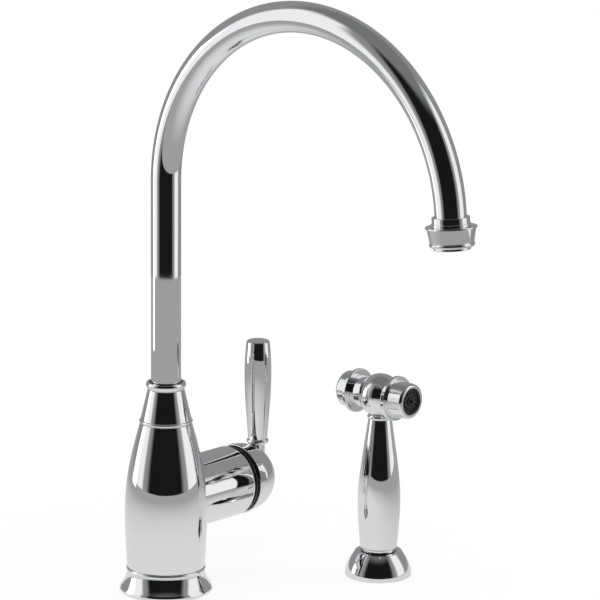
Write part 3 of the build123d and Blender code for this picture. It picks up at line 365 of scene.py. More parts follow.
class Nodes:
    """Short way to write a procedural material."""

    def __init__(self, tree):
        self.tree = tree
        tree.nodes.clear()

    def new(self, kind, settings=None, **sockets):
        node = self.tree.nodes.new(kind)
        for name, value in (settings or {}).items():
            setattr(node, name, value)
        for name, value in sockets.items():
            self.put(node, name.replace("_", " "), value)
        return node

    def put(self, node, name, value):
        socket = node.inputs[int(name)] if name.isdigit() else node.inputs[name]
        if isinstance(value, bpy.types.NodeSocket):
            self.tree.links.new(value, socket)
        elif isinstance(value, bpy.types.Node):
            self.tree.links.new(value.outputs[0], socket)
        else:
            socket.default_value = value

    def math(self, operation, first, second=0.0, clamp=False):
        node = self.tree.nodes.new("ShaderNodeMath")
        node.operation = operation
        node.use_clamp = clamp
        self.put(node, "0", first)
        self.put(node, "1", second)
        return node.outputs[0]

    def ramp(self, value, stops):
        """Colour ramp with (place, grey or colour) stops."""
        node = self.tree.nodes.new("ShaderNodeValToRGB")
        node.color_ramp.interpolation = "LINEAR"
        elements = node.color_ramp.elements
        while len(elements) < len(stops):
            elements.new(1.0)
        for element, (place, shade) in zip(elements, stops):
            element.position = place
            shade = (shade, shade, shade) if isinstance(shade, (int, float)) else shade
            element.color = (*shade, 1.0)
        self.put(node, "0", value)
        return node.outputs[0]

    def mix(self, share, first, second):
        node = self.tree.nodes.new("ShaderNodeMix")
        node.data_type = "RGBA"
        self.put(node, "0", share)
        for name, value in (("6", first), ("7", second)):
            if isinstance(value, (int, float)):
                value = (value, value, value, 1.0)
            elif isinstance(value, tuple) and len(value) == 3:
                value = (*value, 1.0)
            self.put(node, name, value)
        return node.outputs[2]

    def noise(self, scale, detail=2.0, roughness=0.5, stretch=None):
        place = self.new("ShaderNodeTexCoord").outputs["Object"]
        if stretch:
            mapping = self.new("ShaderNodeMapping", Vector=place)
            mapping.inputs["Scale"].default_value = stretch
            place = mapping.outputs[0]
        noise = self.new("ShaderNodeTexNoise", Vector=place, Scale=scale, Detail=detail)
        noise.inputs["Roughness"].default_value = roughness
        return noise.outputs["Fac"]

    def bump(self, height, distance, strength=1.0):
        node = self.new("ShaderNodeBump", Height=height, Distance=distance, Strength=strength)
        return node.outputs[0]


def material(name, base, rough, metallic=0.0, bump=None, **sockets):
    """Procedural material: base and rough are (low, high) pairs that noise mixes."""
    made = bpy.data.materials.new(name)
    made.use_nodes = True
    nodes = Nodes(made.node_tree)
    scale, low, high = base
    colour = nodes.mix(nodes.noise(scale, 4.0), low, high)
    rough_scale, smooth_end, rough_end = rough
    spread = nodes.ramp(nodes.noise(rough_scale, 5.0, 0.6), [(0.3, smooth_end), (0.7, rough_end)])
    shader = nodes.new("ShaderNodeBsdfPrincipled", Base_Color=colour, Roughness=spread)
    shader.inputs["Metallic"].default_value = metallic
    for key, value in sockets.items():
        shader.inputs[key.replace("_", " ")].default_value = value
    if bump:
        bump_scale, distance, stretch = bump
        height = nodes.noise(bump_scale, 4.0, 0.55, stretch)
        nodes.put(shader, "Normal", nodes.bump(height, distance))
    nodes.new("ShaderNodeOutputMaterial", Surface=shader)
    made.diffuse_color = (*high, 1.0)
    return made


MATERIALS = {
    "chrome": material(
        "polished_chrome",
        (40.0, (0.80, 0.81, 0.82), (0.84, 0.85, 0.86)),
        (90.0, 0.012, 0.035),
        1.0,
        (26.0, 0.00001, None),
    ),
    "brass": material(
        "machined_brass",
        (60.0, (0.62, 0.44, 0.18), (0.74, 0.56, 0.27)),
        (200.0, 0.22, 0.34),
        1.0,
        (900.0, 0.00002, (1.0, 1.0, 14.0)),
    ),
    "rubber": material(
        "black_rubber",
        (80.0, (0.014, 0.014, 0.015), (0.028, 0.028, 0.029)),
        (300.0, 0.62, 0.78),
        0.0,
        (1400.0, 0.00004, None),
    ),
    "white_nylon": material(
        "moulded_nylon",
        (60.0, (0.72, 0.71, 0.67), (0.80, 0.79, 0.75)),
        (300.0, 0.38, 0.52),
        0.0,
        (1200.0, 0.00002, None),
    ),
    "black_plastic": material(
        "gloss_black_moulding",
        (70.0, (0.006, 0.006, 0.007), (0.012, 0.012, 0.013)),
        (260.0, 0.12, 0.24),
        0.0,
        (900.0, 0.00001, None),
    ),
    "grey_plastic": material(
        "pale_grey_moulding",
        (70.0, (0.42, 0.43, 0.44), (0.52, 0.53, 0.54)),
        (260.0, 0.32, 0.46),
        0.0,
        (900.0, 0.00002, None),
    ),
    "ceramic": material(
        "lapped_ceramic",
        (50.0, (0.80, 0.79, 0.76), (0.86, 0.85, 0.82)),
        (300.0, 0.12, 0.20),
    ),
    "steel": material(
        "plain_stainless",
        (60.0, (0.50, 0.51, 0.52), (0.62, 0.63, 0.64)),
        (220.0, 0.24, 0.36),
        1.0,
        (700.0, 0.00002, (1.0, 12.0, 1.0)),
    ),
}

SLOTS = {part["node"]: part["material_slot"] for part in frame["record"]["subparts"]}
for node_name, node in frame["nodes"].items():
    node.data.materials.clear()
    node.data.materials.append(MATERIALS[SLOTS[node_name]])


BODY_OF = {}
for body_name, members in frame["record"]["behaviour"]["bodies"].items():
    for member in members:
        BODY_OF[member] = body_name


def dress(obj, node):
    """The piece stands for a CAD node, rides on its body and takes its finish."""
    slot = SLOTS[node]
    obj.data.materials.clear()
    obj.data.materials.append(MATERIALS[slot])
    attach(obj, BODY_OF[node])
    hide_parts(node)
    return obj


def turned(node, outline, place):
    return dress(turned_mesh(node + "_look", outline, place), node)


# ---------------------------------------------------------------- axes

BODY = Place((0, 0, 0), (0, 0, 1), (1, 0, 0))
LEVER_HEIGHT = 69.3
LEVER = Place((0, 0, LEVER_HEIGHT), (1, 0, 0), (0, 0, 1))
SPRAY_X, SPRAY_Y, BALL_HEIGHT = 136.5, -90.5, 138.6
SPRAY = Place((SPRAY_X, SPRAY_Y, 0), (0, 0, 1), (1, 0, 0))
HEAD = Place((SPRAY_X, SPRAY_Y, BALL_HEIGHT), (0, -1, 0), (0, 0, 1))

# ---------------------------------------------------------------- faucet body

FLANGE_BORE = 23.95
flange = Outline(0, FLANGE_BORE, edge=0.2).line(0, 33.0)
flange.arc((1.12, 34.15), (2.8, 34.4)).line(4.2, 33.6, edge=0.5)
flange.spline((7.77, 31.35), (13.32, 29.0), (16.1, 28.5), edge=0.6)
flange.arc((17.3, 29.4), (18.5, 28.8), edge=0.3).line(18.5, FLANGE_BORE).close()
turned("base_flange", flange, BODY)

BODY_BORE, SHANK_BORE, SPIGOT = 16.2, 16.55, 23.9
BODY_TOP, CORE_SEAT = 127.6, 22.0
HOUSING_RADIUS, HOUSING_REACH = 26.3, 71.8
CARTRIDGE_SEAT, CARTRIDGE_BORE = 27.0, 17.65
THREAD_START, THREAD_RADIUS = 51.5, 21.05

vase = Outline(1.0, 0, edge=0.2).lines((1.0, SPIGOT), (18.5, SPIGOT), (18.5, 27.8), (19.1, 27.8))
vase.line(19.1, 28.7)
vase.spline((52.0, 30.3), (84.0, 28.9), (108.0, 24.3), (BODY_TOP, 19.2), edge=0.3)
vase.line(BODY_TOP, 0)
SHOULDER = 4.0
turn_in = SHOULDER * (1 - math.sqrt(0.5))
housing = Outline(8.0, 0).lines((8.0, HOUSING_RADIUS), (HOUSING_REACH - SHOULDER, HOUSING_RADIUS))
housing.arc(
    (HOUSING_REACH - turn_in, HOUSING_RADIUS - turn_in), (HOUSING_REACH, HOUSING_RADIUS - SHOULDER)
)
housing.line(HOUSING_REACH, THREAD_RADIUS, edge=0.4)
housing.lines(
    (THREAD_START, THREAD_RADIUS),
    (THREAD_START, CARTRIDGE_BORE),
    (CARTRIDGE_SEAT, CARTRIDGE_BORE),
    (CARTRIDGE_SEAT, 0),
)
bore = Outline(-1.0, 0, edge=0).lines((-1.0, SHANK_BORE), (CORE_SEAT, SHANK_BORE))
bore.lines((CORE_SEAT, BODY_BORE), (BODY_TOP + 2, BODY_BORE), (BODY_TOP + 2, 0))


def boolean(obj, other, operation):
    change = obj.modifiers.new("change", "BOOLEAN")
    change.operation = operation
    change.object = other
    change.solver = "EXACT"
    change.material_mode = "INDEX"
    graph = bpy.context.evaluated_depsgraph_get()
    made = bpy.data.meshes.new_from_object(obj.evaluated_get(graph))
    obj.modifiers.clear()
    old = obj.data
    obj.data = made
    bpy.data.meshes.remove(old)
    bpy.data.objects.remove(other)


def marked(obj, index, count=4):
    """Gives every face of a mesh the same material index, so that a boolean keeps its origin."""
    for _ in range(count):
        obj.data.materials.append(MATERIALS["chrome"])
    size = len(obj.data.polygons)
    obj.data.polygons.foreach_set("material_index", np.full(size, index, np.int32))
    return obj


def joined_shell():
    """Vase and lever housing as one casting, with exact normals on each of its surfaces."""
    surfaces = [(vase, BODY), (housing, LEVER), (bore, BODY)]
    parts = [
        marked(turned_mesh(f"shell_part_{i}", outline, place), i)
        for i, (outline, place) in enumerate(surfaces)
    ]
    boolean(parts[0], parts[1], "UNION")
    boolean(parts[0], parts[2], "DIFFERENCE")
    shell = parts[0]
    mesh = shell.data
    mesh.name = shell.name = "body_shell_look"
    count = len(mesh.vertices)
    places = np.zeros(count * 3, np.float32)
    mesh.vertices.foreach_get("co", places)
    places = places.reshape(-1, 3).astype(float) / MM
    normals = np.zeros((len(mesh.loops), 3))
    loop_vertex = np.zeros(len(mesh.loops), np.int32)
    mesh.loops.foreach_get("vertex_index", loop_vertex)
    owner = np.zeros(len(mesh.loops), np.int32)
    for polygon in mesh.polygons:
        owner[polygon.loop_start : polygon.loop_start + polygon.loop_total] = polygon.material_index
    for i, (outline, place) in enumerate(surfaces):
        mine = np.where(owner == i)[0]
        used, back = np.unique(loop_vertex[mine], return_inverse=True)
        exact = outline_normals(outline, place, places[used])
        normals[mine] = -exact[back] if i == 2 else exact[back]
    mesh.polygons.foreach_set("material_index", np.zeros(len(mesh.polygons), np.int32))
    mesh.polygons.foreach_set("use_smooth", np.ones(len(mesh.polygons), bool))
    mesh.normals_split_custom_set(normals.tolist())
    mesh.update()
    return dress(shell, "body_shell")


joined_shell()

SLEEVE_CUP, TUBE_BORE, BONNET_SPIGOT = 13.6, 11.4, 16.15
BONNET_TOP = 158.5
bonnet = Outline(122.6, SLEEVE_CUP, edge=0.15).lines(
    (122.6, BONNET_SPIGOT), (BODY_TOP, BONNET_SPIGOT), (BODY_TOP, 18.8), (128.1, 18.8)
)
bonnet.arc((129.3, 19.65), (130.5, 18.8), edge=0.1)
bonnet.line(153.1, 13.5, edge=0.35).line(153.9, 13.5)
bonnet.arc((156.2, 14.7), (BONNET_TOP, 14.0), edge=0.4)
bonnet.lines((BONNET_TOP, 12.6), edge=0.4)
bonnet.lines((155.5, 12.6), (155.5, TUBE_BORE), (135.1, TUBE_BORE), (133.1, SLEEVE_CUP))
bonnet.close()
turned("spout_bonnet", bonnet, BODY)

# ---------------------------------------------------------------- spout

TUBE_RADIUS, TUBE_WALL = 11.0, 1.5
RISE, ARCH, SWEEP, STRAIGHT = 308.0, 132.0, math.radians(175.3), 9.0
TUBE_FOOT = 113.55
ARCH_END = np.array((0, -ARCH + ARCH * math.cos(SWEEP), RISE + ARCH * math.sin(SWEEP)))
END_WAY = np.array((0, -math.sin(SWEEP), math.cos(SWEEP)))
NOZZLE = Place(ARCH_END, END_WAY, (1, 0, 0))


def tube_frames():
    """Centres and outward directions of the spout's sections."""
    centres, ways = [], []
    for z in np.linspace(TUBE_FOOT, RISE, 12)[:-1]:
        centres.append((0, 0, z))
        ways.append((0, 0, 1))
    for angle in np.linspace(0, SWEEP, 221):
        centres.append((0, -ARCH + ARCH * math.cos(angle), RISE + ARCH * math.sin(angle)))
        ways.append((0, -math.sin(angle), math.cos(angle)))
    centres.append(tuple(ARCH_END + END_WAY * STRAIGHT))
    ways.append(tuple(END_WAY))
    return np.array(centres, float), np.array(ways, float)


def swept_tube():
    centres, ways = tube_frames()
    across = np.array((1.0, 0, 0))
    angles = np.arange(AROUND) * math.tau / AROUND
    sides = np.cross(ways, across)
    outward = (
        np.cos(angles)[None, :, None] * across + np.sin(angles)[None, :, None] * sides[:, None]
    )
    outer = centres[:, None] + TUBE_RADIUS * outward
    inner = (centres[:, None] + (TUBE_RADIUS - TUBE_WALL) * outward)[::-1]
    layers = np.concatenate([outer, inner])
    layer_normals = np.concatenate([outward, -outward[::-1]])
    rows = len(layers)
    points = layers.reshape(-1, 3)
    faces, normals = [], []
    count = len(centres)
    for i in range(rows):
        j = (i + 1) % rows
        flat = None
        if i == count - 1:
            flat = ways[-1]
        elif i == rows - 1:
            flat = -ways[0]
        for k in range(AROUND):
            n = (k + 1) % AROUND
            corners = ((i, k), (i, n), (j, n), (j, k))
            faces.append(tuple(a * AROUND + b for a, b in corners))
            normals += [flat if flat is not None else layer_normals[a, b] for a, b in corners]
    return new_mesh("spout_tube_look", points, faces, np.array(normals))


dress(swept_tube(), "spout_tube")

TUBE_HOLE = 11.05
collar = Outline(1.1, TUBE_HOLE, edge=0.3).lines((1.1, 13.1), (5.5, 13.1))
collar.lines((5.5, 13.6), (7.5, 13.6), (7.5, TUBE_HOLE), edge=0.3).close()
turned("nozzle_collar", collar, NOZZLE)

AERATOR = 12.8
shroud = Outline(7.5, TUBE_HOLE, edge=0.25).line(7.5, 17.9)
shroud.line(8.7, 17.9, edge=0.5).line(8.7, 17.0, edge=0.5).line(18.5, 15.2, edge=0.35)
shroud.arc((20.0, 15.7), (21.5, 14.6), edge=0.5)
shroud.line(21.5, AERATOR + 0.05, edge=0.4)
shroud.lines((9.3, AERATOR + 0.05), (9.3, TUBE_HOLE)).close()
turned("nozzle_shroud", shroud, NOZZLE)

aerator = Outline(11.1, 11.0).line(11.1, AERATOR).line(23.5, AERATOR)
aerator.line(23.5, 11.0, edge=0.6).close()
turned("aerator_housing", aerator, NOZZLE)

# ---------------------------------------------------------------- lever

NUT_END, PIVOT = 63.9, 50.0
SPHERE, FLARE, SHROUD_END = 34.6, 25.4, 75.2
sleeve = Outline(NUT_END, 15.0, edge=0.2).lines((NUT_END, 21.0), (HOUSING_REACH + 0.3, 21.0))
sleeve.line(HOUSING_REACH + 0.3, FLARE)
flare_end = PIVOT + math.sqrt(SPHERE**2 - FLARE**2)
sleeve.line(flare_end, FLARE)
middle = (flare_end + SHROUD_END) / 2
sleeve.arc(
    (middle, math.sqrt(SPHERE**2 - (middle - PIVOT) ** 2)),
    (SHROUD_END, math.sqrt(SPHERE**2 - (SHROUD_END - PIVOT) ** 2)),
)
sleeve.line(SHROUD_END, 15.0).close()
turned("cartridge_shroud", sleeve, LEVER)

CAP_START, CAP_RING, CAP_RING_END, CAP_DOME, DOME_CENTRE = 75.6, 26.6, 79.0, 25.8, 82.0
half = CAP_DOME / math.sqrt(2)
CAP_SOCKET = DOME_CENTRE + 11.0
cap = Outline(DOME_CENTRE, 0, edge=0.2).line(DOME_CENTRE, 8.5)
cap.line(CAP_SOCKET, 8.5).line(CAP_SOCKET, 15.0)
cap.lines((DOME_CENTRE, 23.0), (CAP_START, 24.2), (CAP_START, CAP_RING - 0.6))
cap.arc((CAP_START + 0.18, CAP_RING - 0.18), (CAP_START + 0.6, CAP_RING))
cap.line(CAP_RING_END - 0.6, CAP_RING)
cap.arc((CAP_RING_END - 0.18, CAP_RING - 0.18), (CAP_RING_END, CAP_RING - 0.6))
cap.line(CAP_RING_END, CAP_DOME, edge=0.1).line(DOME_CENTRE, CAP_DOME, edge=0.25)
cap.arc((DOME_CENTRE + half, half), (DOME_CENTRE + CAP_DOME, 0))
turned("handle_cap", cap, LEVER)

STEM_X = 101.0
STEM_FOOT, STEM_TOP, GRIP_LENGTH = 76.8, 92.5, 79.5
STEM = Place((STEM_X, 0, 0), (0, 0, 1), (1, 0, 0))
stem = Outline(STEM_FOOT, 0, edge=0.3).line(STEM_FOOT, 5.5).line(STEM_TOP, 5.5).line(STEM_TOP, 0)
turned("lever_stem", stem, STEM)
GRIP = Place((STEM_X, 0, STEM_TOP), (0, 0, 1), (1, 0, 0))
grip = Outline(0, 0, edge=0.3).line(0, 7.3).arc((1.8, 8.3), (3.8, 7.2))
grip.spline((28.62, 9.05), (52.47, 10.1), (GRIP_LENGTH - 0.8, 8.7), edge=0.4)
grip.line(GRIP_LENGTH, 7.9, edge=0.4).line(GRIP_LENGTH, 0, edge=0.5)
turned("lever_grip", grip, GRIP)

# ---------------------------------------------------------------- hand spray's holder

BELL_TOP, LEDGE, LIP, LIP_UNDER = 18.6, 16.5, 13.2, 18.1
bell = Outline(0, 14.05, edge=0.2).line(0, 24.6).arc((0.3, 24.85), (0.8, 24.95))
bell.spline((6.14, 24.1), (12.46, 21.5), (BELL_TOP, 17.5), edge=0.4)
bell.lines((BELL_TOP, LIP), (LIP_UNDER, LIP), (LIP_UNDER, 15.35), (LEDGE, 15.35), edge=0.15)
bell.line(LEDGE, 14.05, edge=0.2).close()
turned("spray_escutcheon", bell, SPRAY)

LINER_TOP, LINER_LENGTH = 19.1, 38.0
liner = Outline(LEDGE, 12.85, edge=0.2).lines((LEDGE, 15.3), (LIP_UNDER - 0.05, 15.3))
liner.lines((LIP_UNDER - 0.05, LIP - 0.05), (LINER_TOP, LIP - 0.05), (LINER_TOP, 12.0))
liner.lines((LINER_TOP - LINER_LENGTH, 12.0), (LINER_TOP - LINER_LENGTH, 12.85)).close()
turned("spray_guide_liner", liner, SPRAY)

# ---------------------------------------------------------------- hand spray

HANDLE_TOP, HANDLE_BELLY = 121.0, 61.0
HANDLE_END = LINER_TOP + 0.05
FOOT = LINER_TOP + 2.3
handle = Outline(HANDLE_END, 8.08, edge=0.2).lines((HANDLE_END, 12.8), (FOOT, 12.8), (FOOT, 13.3))
handle.arc((FOOT + 0.3, 13.7), (FOOT + 0.9, 13.9), edge=0.2)
handle.spline(
    ((LINER_TOP + HANDLE_BELLY) / 2 - 3, 15.1),
    (HANDLE_BELLY, 15.9),
    (96.3, 12.3),
    (HANDLE_TOP, 8.8),
    edge=0.5,
)
handle.line(HANDLE_TOP, 5.05, edge=0.3)
handle.lines((114.8, 5.05), (114.8, 3.4), (33.3, 3.4), (33.3, 8.08)).close()
turned("spray_handle", handle, SPRAY)

COLLAR_TOP = 124.3
neck = Outline(HANDLE_TOP, 5.05, edge=0.15).line(HANDLE_TOP, 8.8)
neck.arc((HANDLE_TOP + 1.32, 9.6), (COLLAR_TOP, 8.0), edge=0.3)
neck.line(COLLAR_TOP, 5.05, edge=0.3).close()
turned("spray_neck_collar", neck, SPRAY)

BALL, BALL_FRONT, CHAMBER, REAR_CUT = 16.3, 13.4, 7.5, 11.349
ball = Outline(-REAR_CUT, CHAMBER, edge=0.2).line(-REAR_CUT, math.sqrt(BALL**2 - REAR_CUT**2))
ball.arc((0, BALL), (BALL_FRONT, math.sqrt(BALL**2 - BALL_FRONT**2)))
ball.line(BALL_FRONT, CHAMBER).close()
turned("spray_ball", ball, HEAD)

rear = Outline(-24.5, 2.08, edge=0.2).line(-24.5, 11.7).line(-REAR_CUT, 11.7)
rear.lines((-REAR_CUT, 7.45), (-5.0, 7.45), (-5.0, 4.4), (-8.0, 4.4), (-8.0, 2.08)).close()
turned("rear_guide_neck", rear, HEAD)

FLANGE_FRONT, BARREL_END, FACE = 16.9, 30.4, 10.15
nozzle = Outline(8.5, 5.9, edge=0.15).lines((8.5, 7.45), (BALL_FRONT, 7.45), (BALL_FRONT, 16.1))
nozzle.arc((BALL_FRONT + 0.2, 16.6), (BALL_FRONT + 0.7, 16.8), edge=0.1)
nozzle.line(FLANGE_FRONT - 0.7, 16.8)
nozzle.arc((FLANGE_FRONT - 0.2, 16.6), (FLANGE_FRONT, 16.1), edge=0.1)
nozzle.line(FLANGE_FRONT, 14.0).line(BARREL_END - 2.0, 13.2, edge=0.6)
nozzle.arc((BARREL_END - 0.6, 12.5), (BARREL_END, 11.2), edge=0.6)
nozzle.line(BARREL_END, FACE, edge=0.3).line(23.0, FACE, edge=0.35)
nozzle.lines((23.0, 8.5), (FLANGE_FRONT, 8.5), (FLANGE_FRONT, 5.9)).close()
turned("nozzle_sleeve", nozzle, HEAD)

KNOB_REAR, KNOB_MOUTH, KNOB_BORE = -33.6, -20.5, 11.78
knob = Outline(-29.5, 0, edge=0.15).lines((-29.5, KNOB_BORE), (KNOB_MOUTH, KNOB_BORE))
knob.line(KNOB_MOUTH, 15.8).arc((-20.7, 16.3), (-21.2, 16.5), edge=0.1).line(-22.7, 16.5)
knob.arc((-23.2, 16.3), (-23.4, 15.8), edge=0.1).line(-23.4, 13.5).line(-30.6, 13.5, edge=0.5)
knob.arc((-32.7, 12.6), (KNOB_REAR, 10.5)).line(KNOB_REAR, 0)
turned("spray_button", knob, HEAD)


def coil(node, place, low, high, radius, wire, turns):
    """Round wire wound about the place's axis."""
    sides, steps = 12, 48 * turns
    around = np.arange(sides) * math.tau / sides
    rings = []
    for share in np.linspace(0, 1, steps + 1):
        stations = low + wire + share * (high - low - 2 * wire) + wire * np.sin(around)
        angles = np.full(sides, share * turns * math.tau)
        rings.append(place.points(stations, radius + wire * np.cos(around), angles))
    last = steps * sides
    faces = [tuple(range(sides)), tuple(range(last + sides - 1, last - 1, -1))]
    for i in range(steps):
        for k in range(sides):
            n = (k + 1) % sides
            corners = ((i, k), (i + 1, k), (i + 1, n), (i, n))
            faces.append(tuple(ring * sides + side for ring, side in corners))
    return dress(new_mesh(node + "_look", np.vstack(rings), faces), node)


# The spring is a coil wound from the poppet's end, with a mesh of its own.
POPPET_END, SPRING_LENGTH, PRESS = 9.5, 7.4, 4.0
SPRING_GAP = 0.05
spring = coil(
    "button_spring",
    HEAD,
    low=POPPET_END + SPRING_GAP,
    high=POPPET_END + SPRING_LENGTH - SPRING_GAP,
    radius=4.55,
    wire=0.32,
    turns=3,
)
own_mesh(spring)

# ---------------------------------------------------------------- threads and nuts

FINE = 96  # faces round a thread or a nut


def looped(node, rings, flat_from):
    """Closed surface through a loop of rings, flat-shaded from one of its rings on."""
    count = len(rings)
    faces = []
    for i in range(count):
        j = (i + 1) % count
        for k in range(FINE):
            n = (k + 1) % FINE
            faces.append(tuple(a * FINE + b for a, b in ((i, k), (i, n), (j, n), (j, k))))
    made = new_mesh(node + "_look", np.vstack(rings), faces)
    smooth = np.arange(len(faces)) < flat_from * FINE
    made.data.polygons.foreach_set("use_smooth", smooth)
    return dress(made, node)


def threaded(node, place, low, high, bore, radius, pitch):
    """Tube with an outside thread and chamfered ends."""
    columns = np.arange(FINE)
    angles = columns * math.tau / FINE
    rows = np.linspace(low, high, 4 * round((high - low) / pitch) + 1)
    turns = (rows[:, None] / pitch - columns / FINE) % 1.0
    radii = radius - 0.6 * pitch * np.abs(2 * turns - 1)
    to_end = np.minimum(rows - low, high - rows)[:, None]
    radii = np.minimum(radii, radius - 0.8 * pitch + to_end)
    rings = [place.points(np.full(FINE, row), r, angles) for row, r in zip(rows, radii)]
    for row in (high, low):
        rings.append(place.points(np.full(FINE, row), np.full(FINE, bore), angles))
    return looped(node, rings, len(rows) - 1)


def nut(node, place, low, high, bore, corner):
    """Hexagon nut with chamfered corners and a countersunk bore."""
    angles = np.arange(FINE) * math.tau / FINE
    flat = corner * math.cos(math.pi / 6)
    sides = flat / np.cos(angles % (math.pi / 3) - math.pi / 6)
    reaches = np.array([0, 0.3, 0.6, 0.9, 1.2, 1.5, 2.0])
    rings = []
    for station, reach in zip(
        np.concatenate([low + reaches, high - reaches[::-1]]),
        np.concatenate([reaches, reaches[::-1]]),
    ):
        radii = np.minimum(sides, flat - 0.4 + 2 * reach)
        rings.append(place.points(np.full(FINE, station), radii, angles))
    sink = 0.8
    wide = bore + sink
    for row, radius in ((high, wide), (high - sink, bore), (low + sink, bore), (low, wide)):
        rings.append(place.points(np.full(FINE, row), np.full(FINE, radius), angles))
    return looped(node, rings, 0)


threaded("mounting_shank", BODY, low=-75.0, high=CORE_SEAT, bore=13.5, radius=16.5, pitch=1.5)
nut("shank_nut", BODY, low=-47.5, high=-35.5, bore=SHANK_BORE, corner=25.5)
threaded("spray_shank", SPRAY, low=-60.0, high=12.5, bore=12.9, radius=14.0, pitch=1.0)
nut("spray_shank_nut", SPRAY, low=-42.0, high=-33.0, bore=14.05, corner=21.5)

# ---------------------------------------------------------------- stage, light and background


def turn_share(nodes, direction):
    """Azimuth of a direction as a share of a turn, 0.5 toward the front and more to the right."""
    side = nodes.new("ShaderNodeVectorMath", {"operation": "DOT_PRODUCT"})
    toward = nodes.new("ShaderNodeVectorMath", {"operation": "DOT_PRODUCT"})
    c, s = math.cos(FRONT), math.sin(FRONT)
    for node, axis in ((side, (c, s, 0)), (toward, (s, -c, 0))):
        nodes.put(node, "0", direction)
        node.inputs[1].default_value = axis
    turn = nodes.math("ARCTAN2", side.outputs["Value"], toward.outputs["Value"])
    return nodes.math("ADD", nodes.math("DIVIDE", turn, math.tau), 0.5)


def step(nodes, value, start, stop):
    """Smooth step from 0 at start to 1 at stop."""
    ranged = nodes.new("ShaderNodeMapRange", {"interpolation_type": "SMOOTHSTEP"}, Value=value)
    ranged.inputs["From Min"].default_value = start
    ranged.inputs["From Max"].default_value = stop
    return ranged.outputs[0]


def sector(nodes, share, start, full, last, stop):
    """Soft-edged share of a stretch of wall between azimuths in degrees."""
    start, full, last, stop = ((turn + 180) / 360 for turn in (start, full, last, stop))
    return nodes.math("MULTIPLY", step(nodes, share, start, full), step(nodes, share, stop, last))


# A plain studio for polished metal, the same on both sides, in azimuths from the front: a grey
# room with a dark front and one white softbox at each side.
DARK_FRONT = (-60, -45, 45, 60)
SOFTBOXES = ((-110, -100, -75, -65), (65, 75, 100, 110))
ROOM_GREY, FRONT_GREY, SOFTBOX_WHITE, CEILING_GREY = 0.3, 0.01, 1.0, 0.2
CEILING_EDGE = (40, 60)  # degrees above the horizon
FLOOR_NEAR, FLOOR_FAR, FLOOR_FADE = 0.8, 0.4, (0.1, 0.6)
ROOM_SHADE = 0.62  # what lights dull surfaces


def studio(nodes, direction):
    """What polished metal sees of the studio, from the direction alone."""
    share = turn_share(nodes, direction)
    height = nodes.new("ShaderNodeSeparateXYZ", Vector=direction).outputs[2]
    rise = nodes.math("MULTIPLY", nodes.math("ARCSINE", height), 180 / math.pi)
    shade = nodes.mix(sector(nodes, share, *DARK_FRONT), ROOM_GREY, FRONT_GREY)
    for edges in SOFTBOXES:
        shade = nodes.mix(sector(nodes, share, *edges), shade, SOFTBOX_WHITE)
    return nodes.mix(step(nodes, rise, *CEILING_EDGE), shade, CEILING_GREY)


def seen_plainly(nodes):
    """One for camera rays, and one for glossy and transmission rays."""
    path = nodes.new("ShaderNodeLightPath")
    kinds = ("Is Camera Ray", "Is Glossy Ray", "Is Transmission Ray")
    camera, mirrored, through = (path.outputs[kind] for kind in kinds)
    return camera, nodes.math("MAXIMUM", mirrored, through)


def make_world():
    world = bpy.data.worlds.new("studio")
    bpy.context.scene.world = world
    world.use_nodes = True
    nodes = Nodes(world.node_tree)
    direction = nodes.new("ShaderNodeTexCoord").outputs["Generated"]
    camera, glossy = seen_plainly(nodes)
    seen = studio(nodes, direction)
    shade = nodes.mix(glossy, ROOM_SHADE, seen)
    shade = nodes.mix(camera, shade, 1.0)
    background = nodes.new("ShaderNodeBackground", Color=shade, Strength=1.0)
    nodes.new("ShaderNodeOutputWorld", Surface=background)


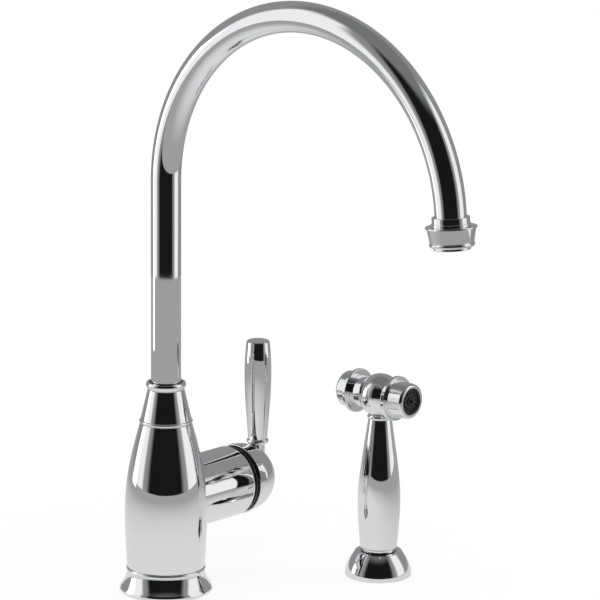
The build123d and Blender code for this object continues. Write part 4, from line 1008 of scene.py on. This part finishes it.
def make_floor():
    """Round pale floor, white to the camera; polished metal sees it fade to grey with distance."""
    radius, count = 1.1, 240
    angles = np.arange(count) * math.tau / count
    rim = [(radius * math.cos(angle), radius * math.sin(angle), 0) for angle in angles]
    faces = [(0, i + 1, (i + 1) % count + 1) for i in range(count)]
    mesh = bpy.data.meshes.new("floor")
    mesh.from_pydata([(0, 0, 0), *rim], [], faces)
    floor = bpy.data.objects.new("floor", mesh)
    floor.location = (0, 0, -0.0002)
    bpy.context.scene.collection.objects.link(floor)
    made = bpy.data.materials.new("pale_floor")
    made.use_nodes = True
    nodes = Nodes(made.node_tree)
    camera, glossy = seen_plainly(nodes)
    place = nodes.new("ShaderNodeTexCoord").outputs["Object"]
    away = nodes.new("ShaderNodeVectorMath", {"operation": "LENGTH"})
    nodes.put(away, "0", place)
    distance = away.outputs["Value"]
    reflected = nodes.mix(step(nodes, distance, *FLOOR_FADE), FLOOR_NEAR, FLOOR_FAR)
    shade = nodes.mix(camera, reflected, 1.0)
    plain = nodes.new("ShaderNodeEmission", Color=shade, Strength=1.0)
    lit = nodes.new("ShaderNodeBsdfDiffuse", Color=(0.86, 0.86, 0.86, 1.0))
    fade = step(nodes, distance, 0.10, 0.36)
    white_share = nodes.math("ADD", nodes.math("MULTIPLY", fade, 0.12), 0.88)
    share = nodes.math("ADD", nodes.math("MULTIPLY", camera, white_share), glossy, True)
    mixed = nodes.new("ShaderNodeMixShader", Fac=share)
    nodes.put(mixed, "1", lit)
    nodes.put(mixed, "2", plain)
    nodes.new("ShaderNodeOutputMaterial", Surface=mixed)
    mesh.materials.append(made)


def make_lamp(name, place, target, size, power, seen=False):
    data = bpy.data.lights.new(name, "AREA")
    data.shape = "RECTANGLE"
    data.size, data.size_y = size
    data.energy = power
    lamp = bpy.data.objects.new(name, data)
    bpy.context.scene.collection.objects.link(lamp)
    lamp.location = place
    way = Vector(target) - Vector(place)
    lamp.rotation_euler = way.to_track_quat("-Z", "Y").to_euler()
    lamp.visible_glossy = seen
    lamp.visible_camera = False


AIM = (0.05, -0.1, 0.15)
make_world()
make_floor()
make_lamp("key", (-1.3, -1.0, 1.6), AIM, (0.9, 0.9), 14.0)
make_lamp("fill", (1.4, -1.4, 1.0), AIM, (1.0, 1.0), 7.0)
make_lamp("top", (0.1, 0.3, 1.9), (0.05, -0.1, 0.1), (1.2, 1.2), 9.0)
make_lamp("rim", (-0.356, 0.683, 0.275), (0.0, 0.0, 0.275), (0.27, 0.55), 0.55, seen=True)

bpy.context.scene.view_settings.view_transform = "Standard"
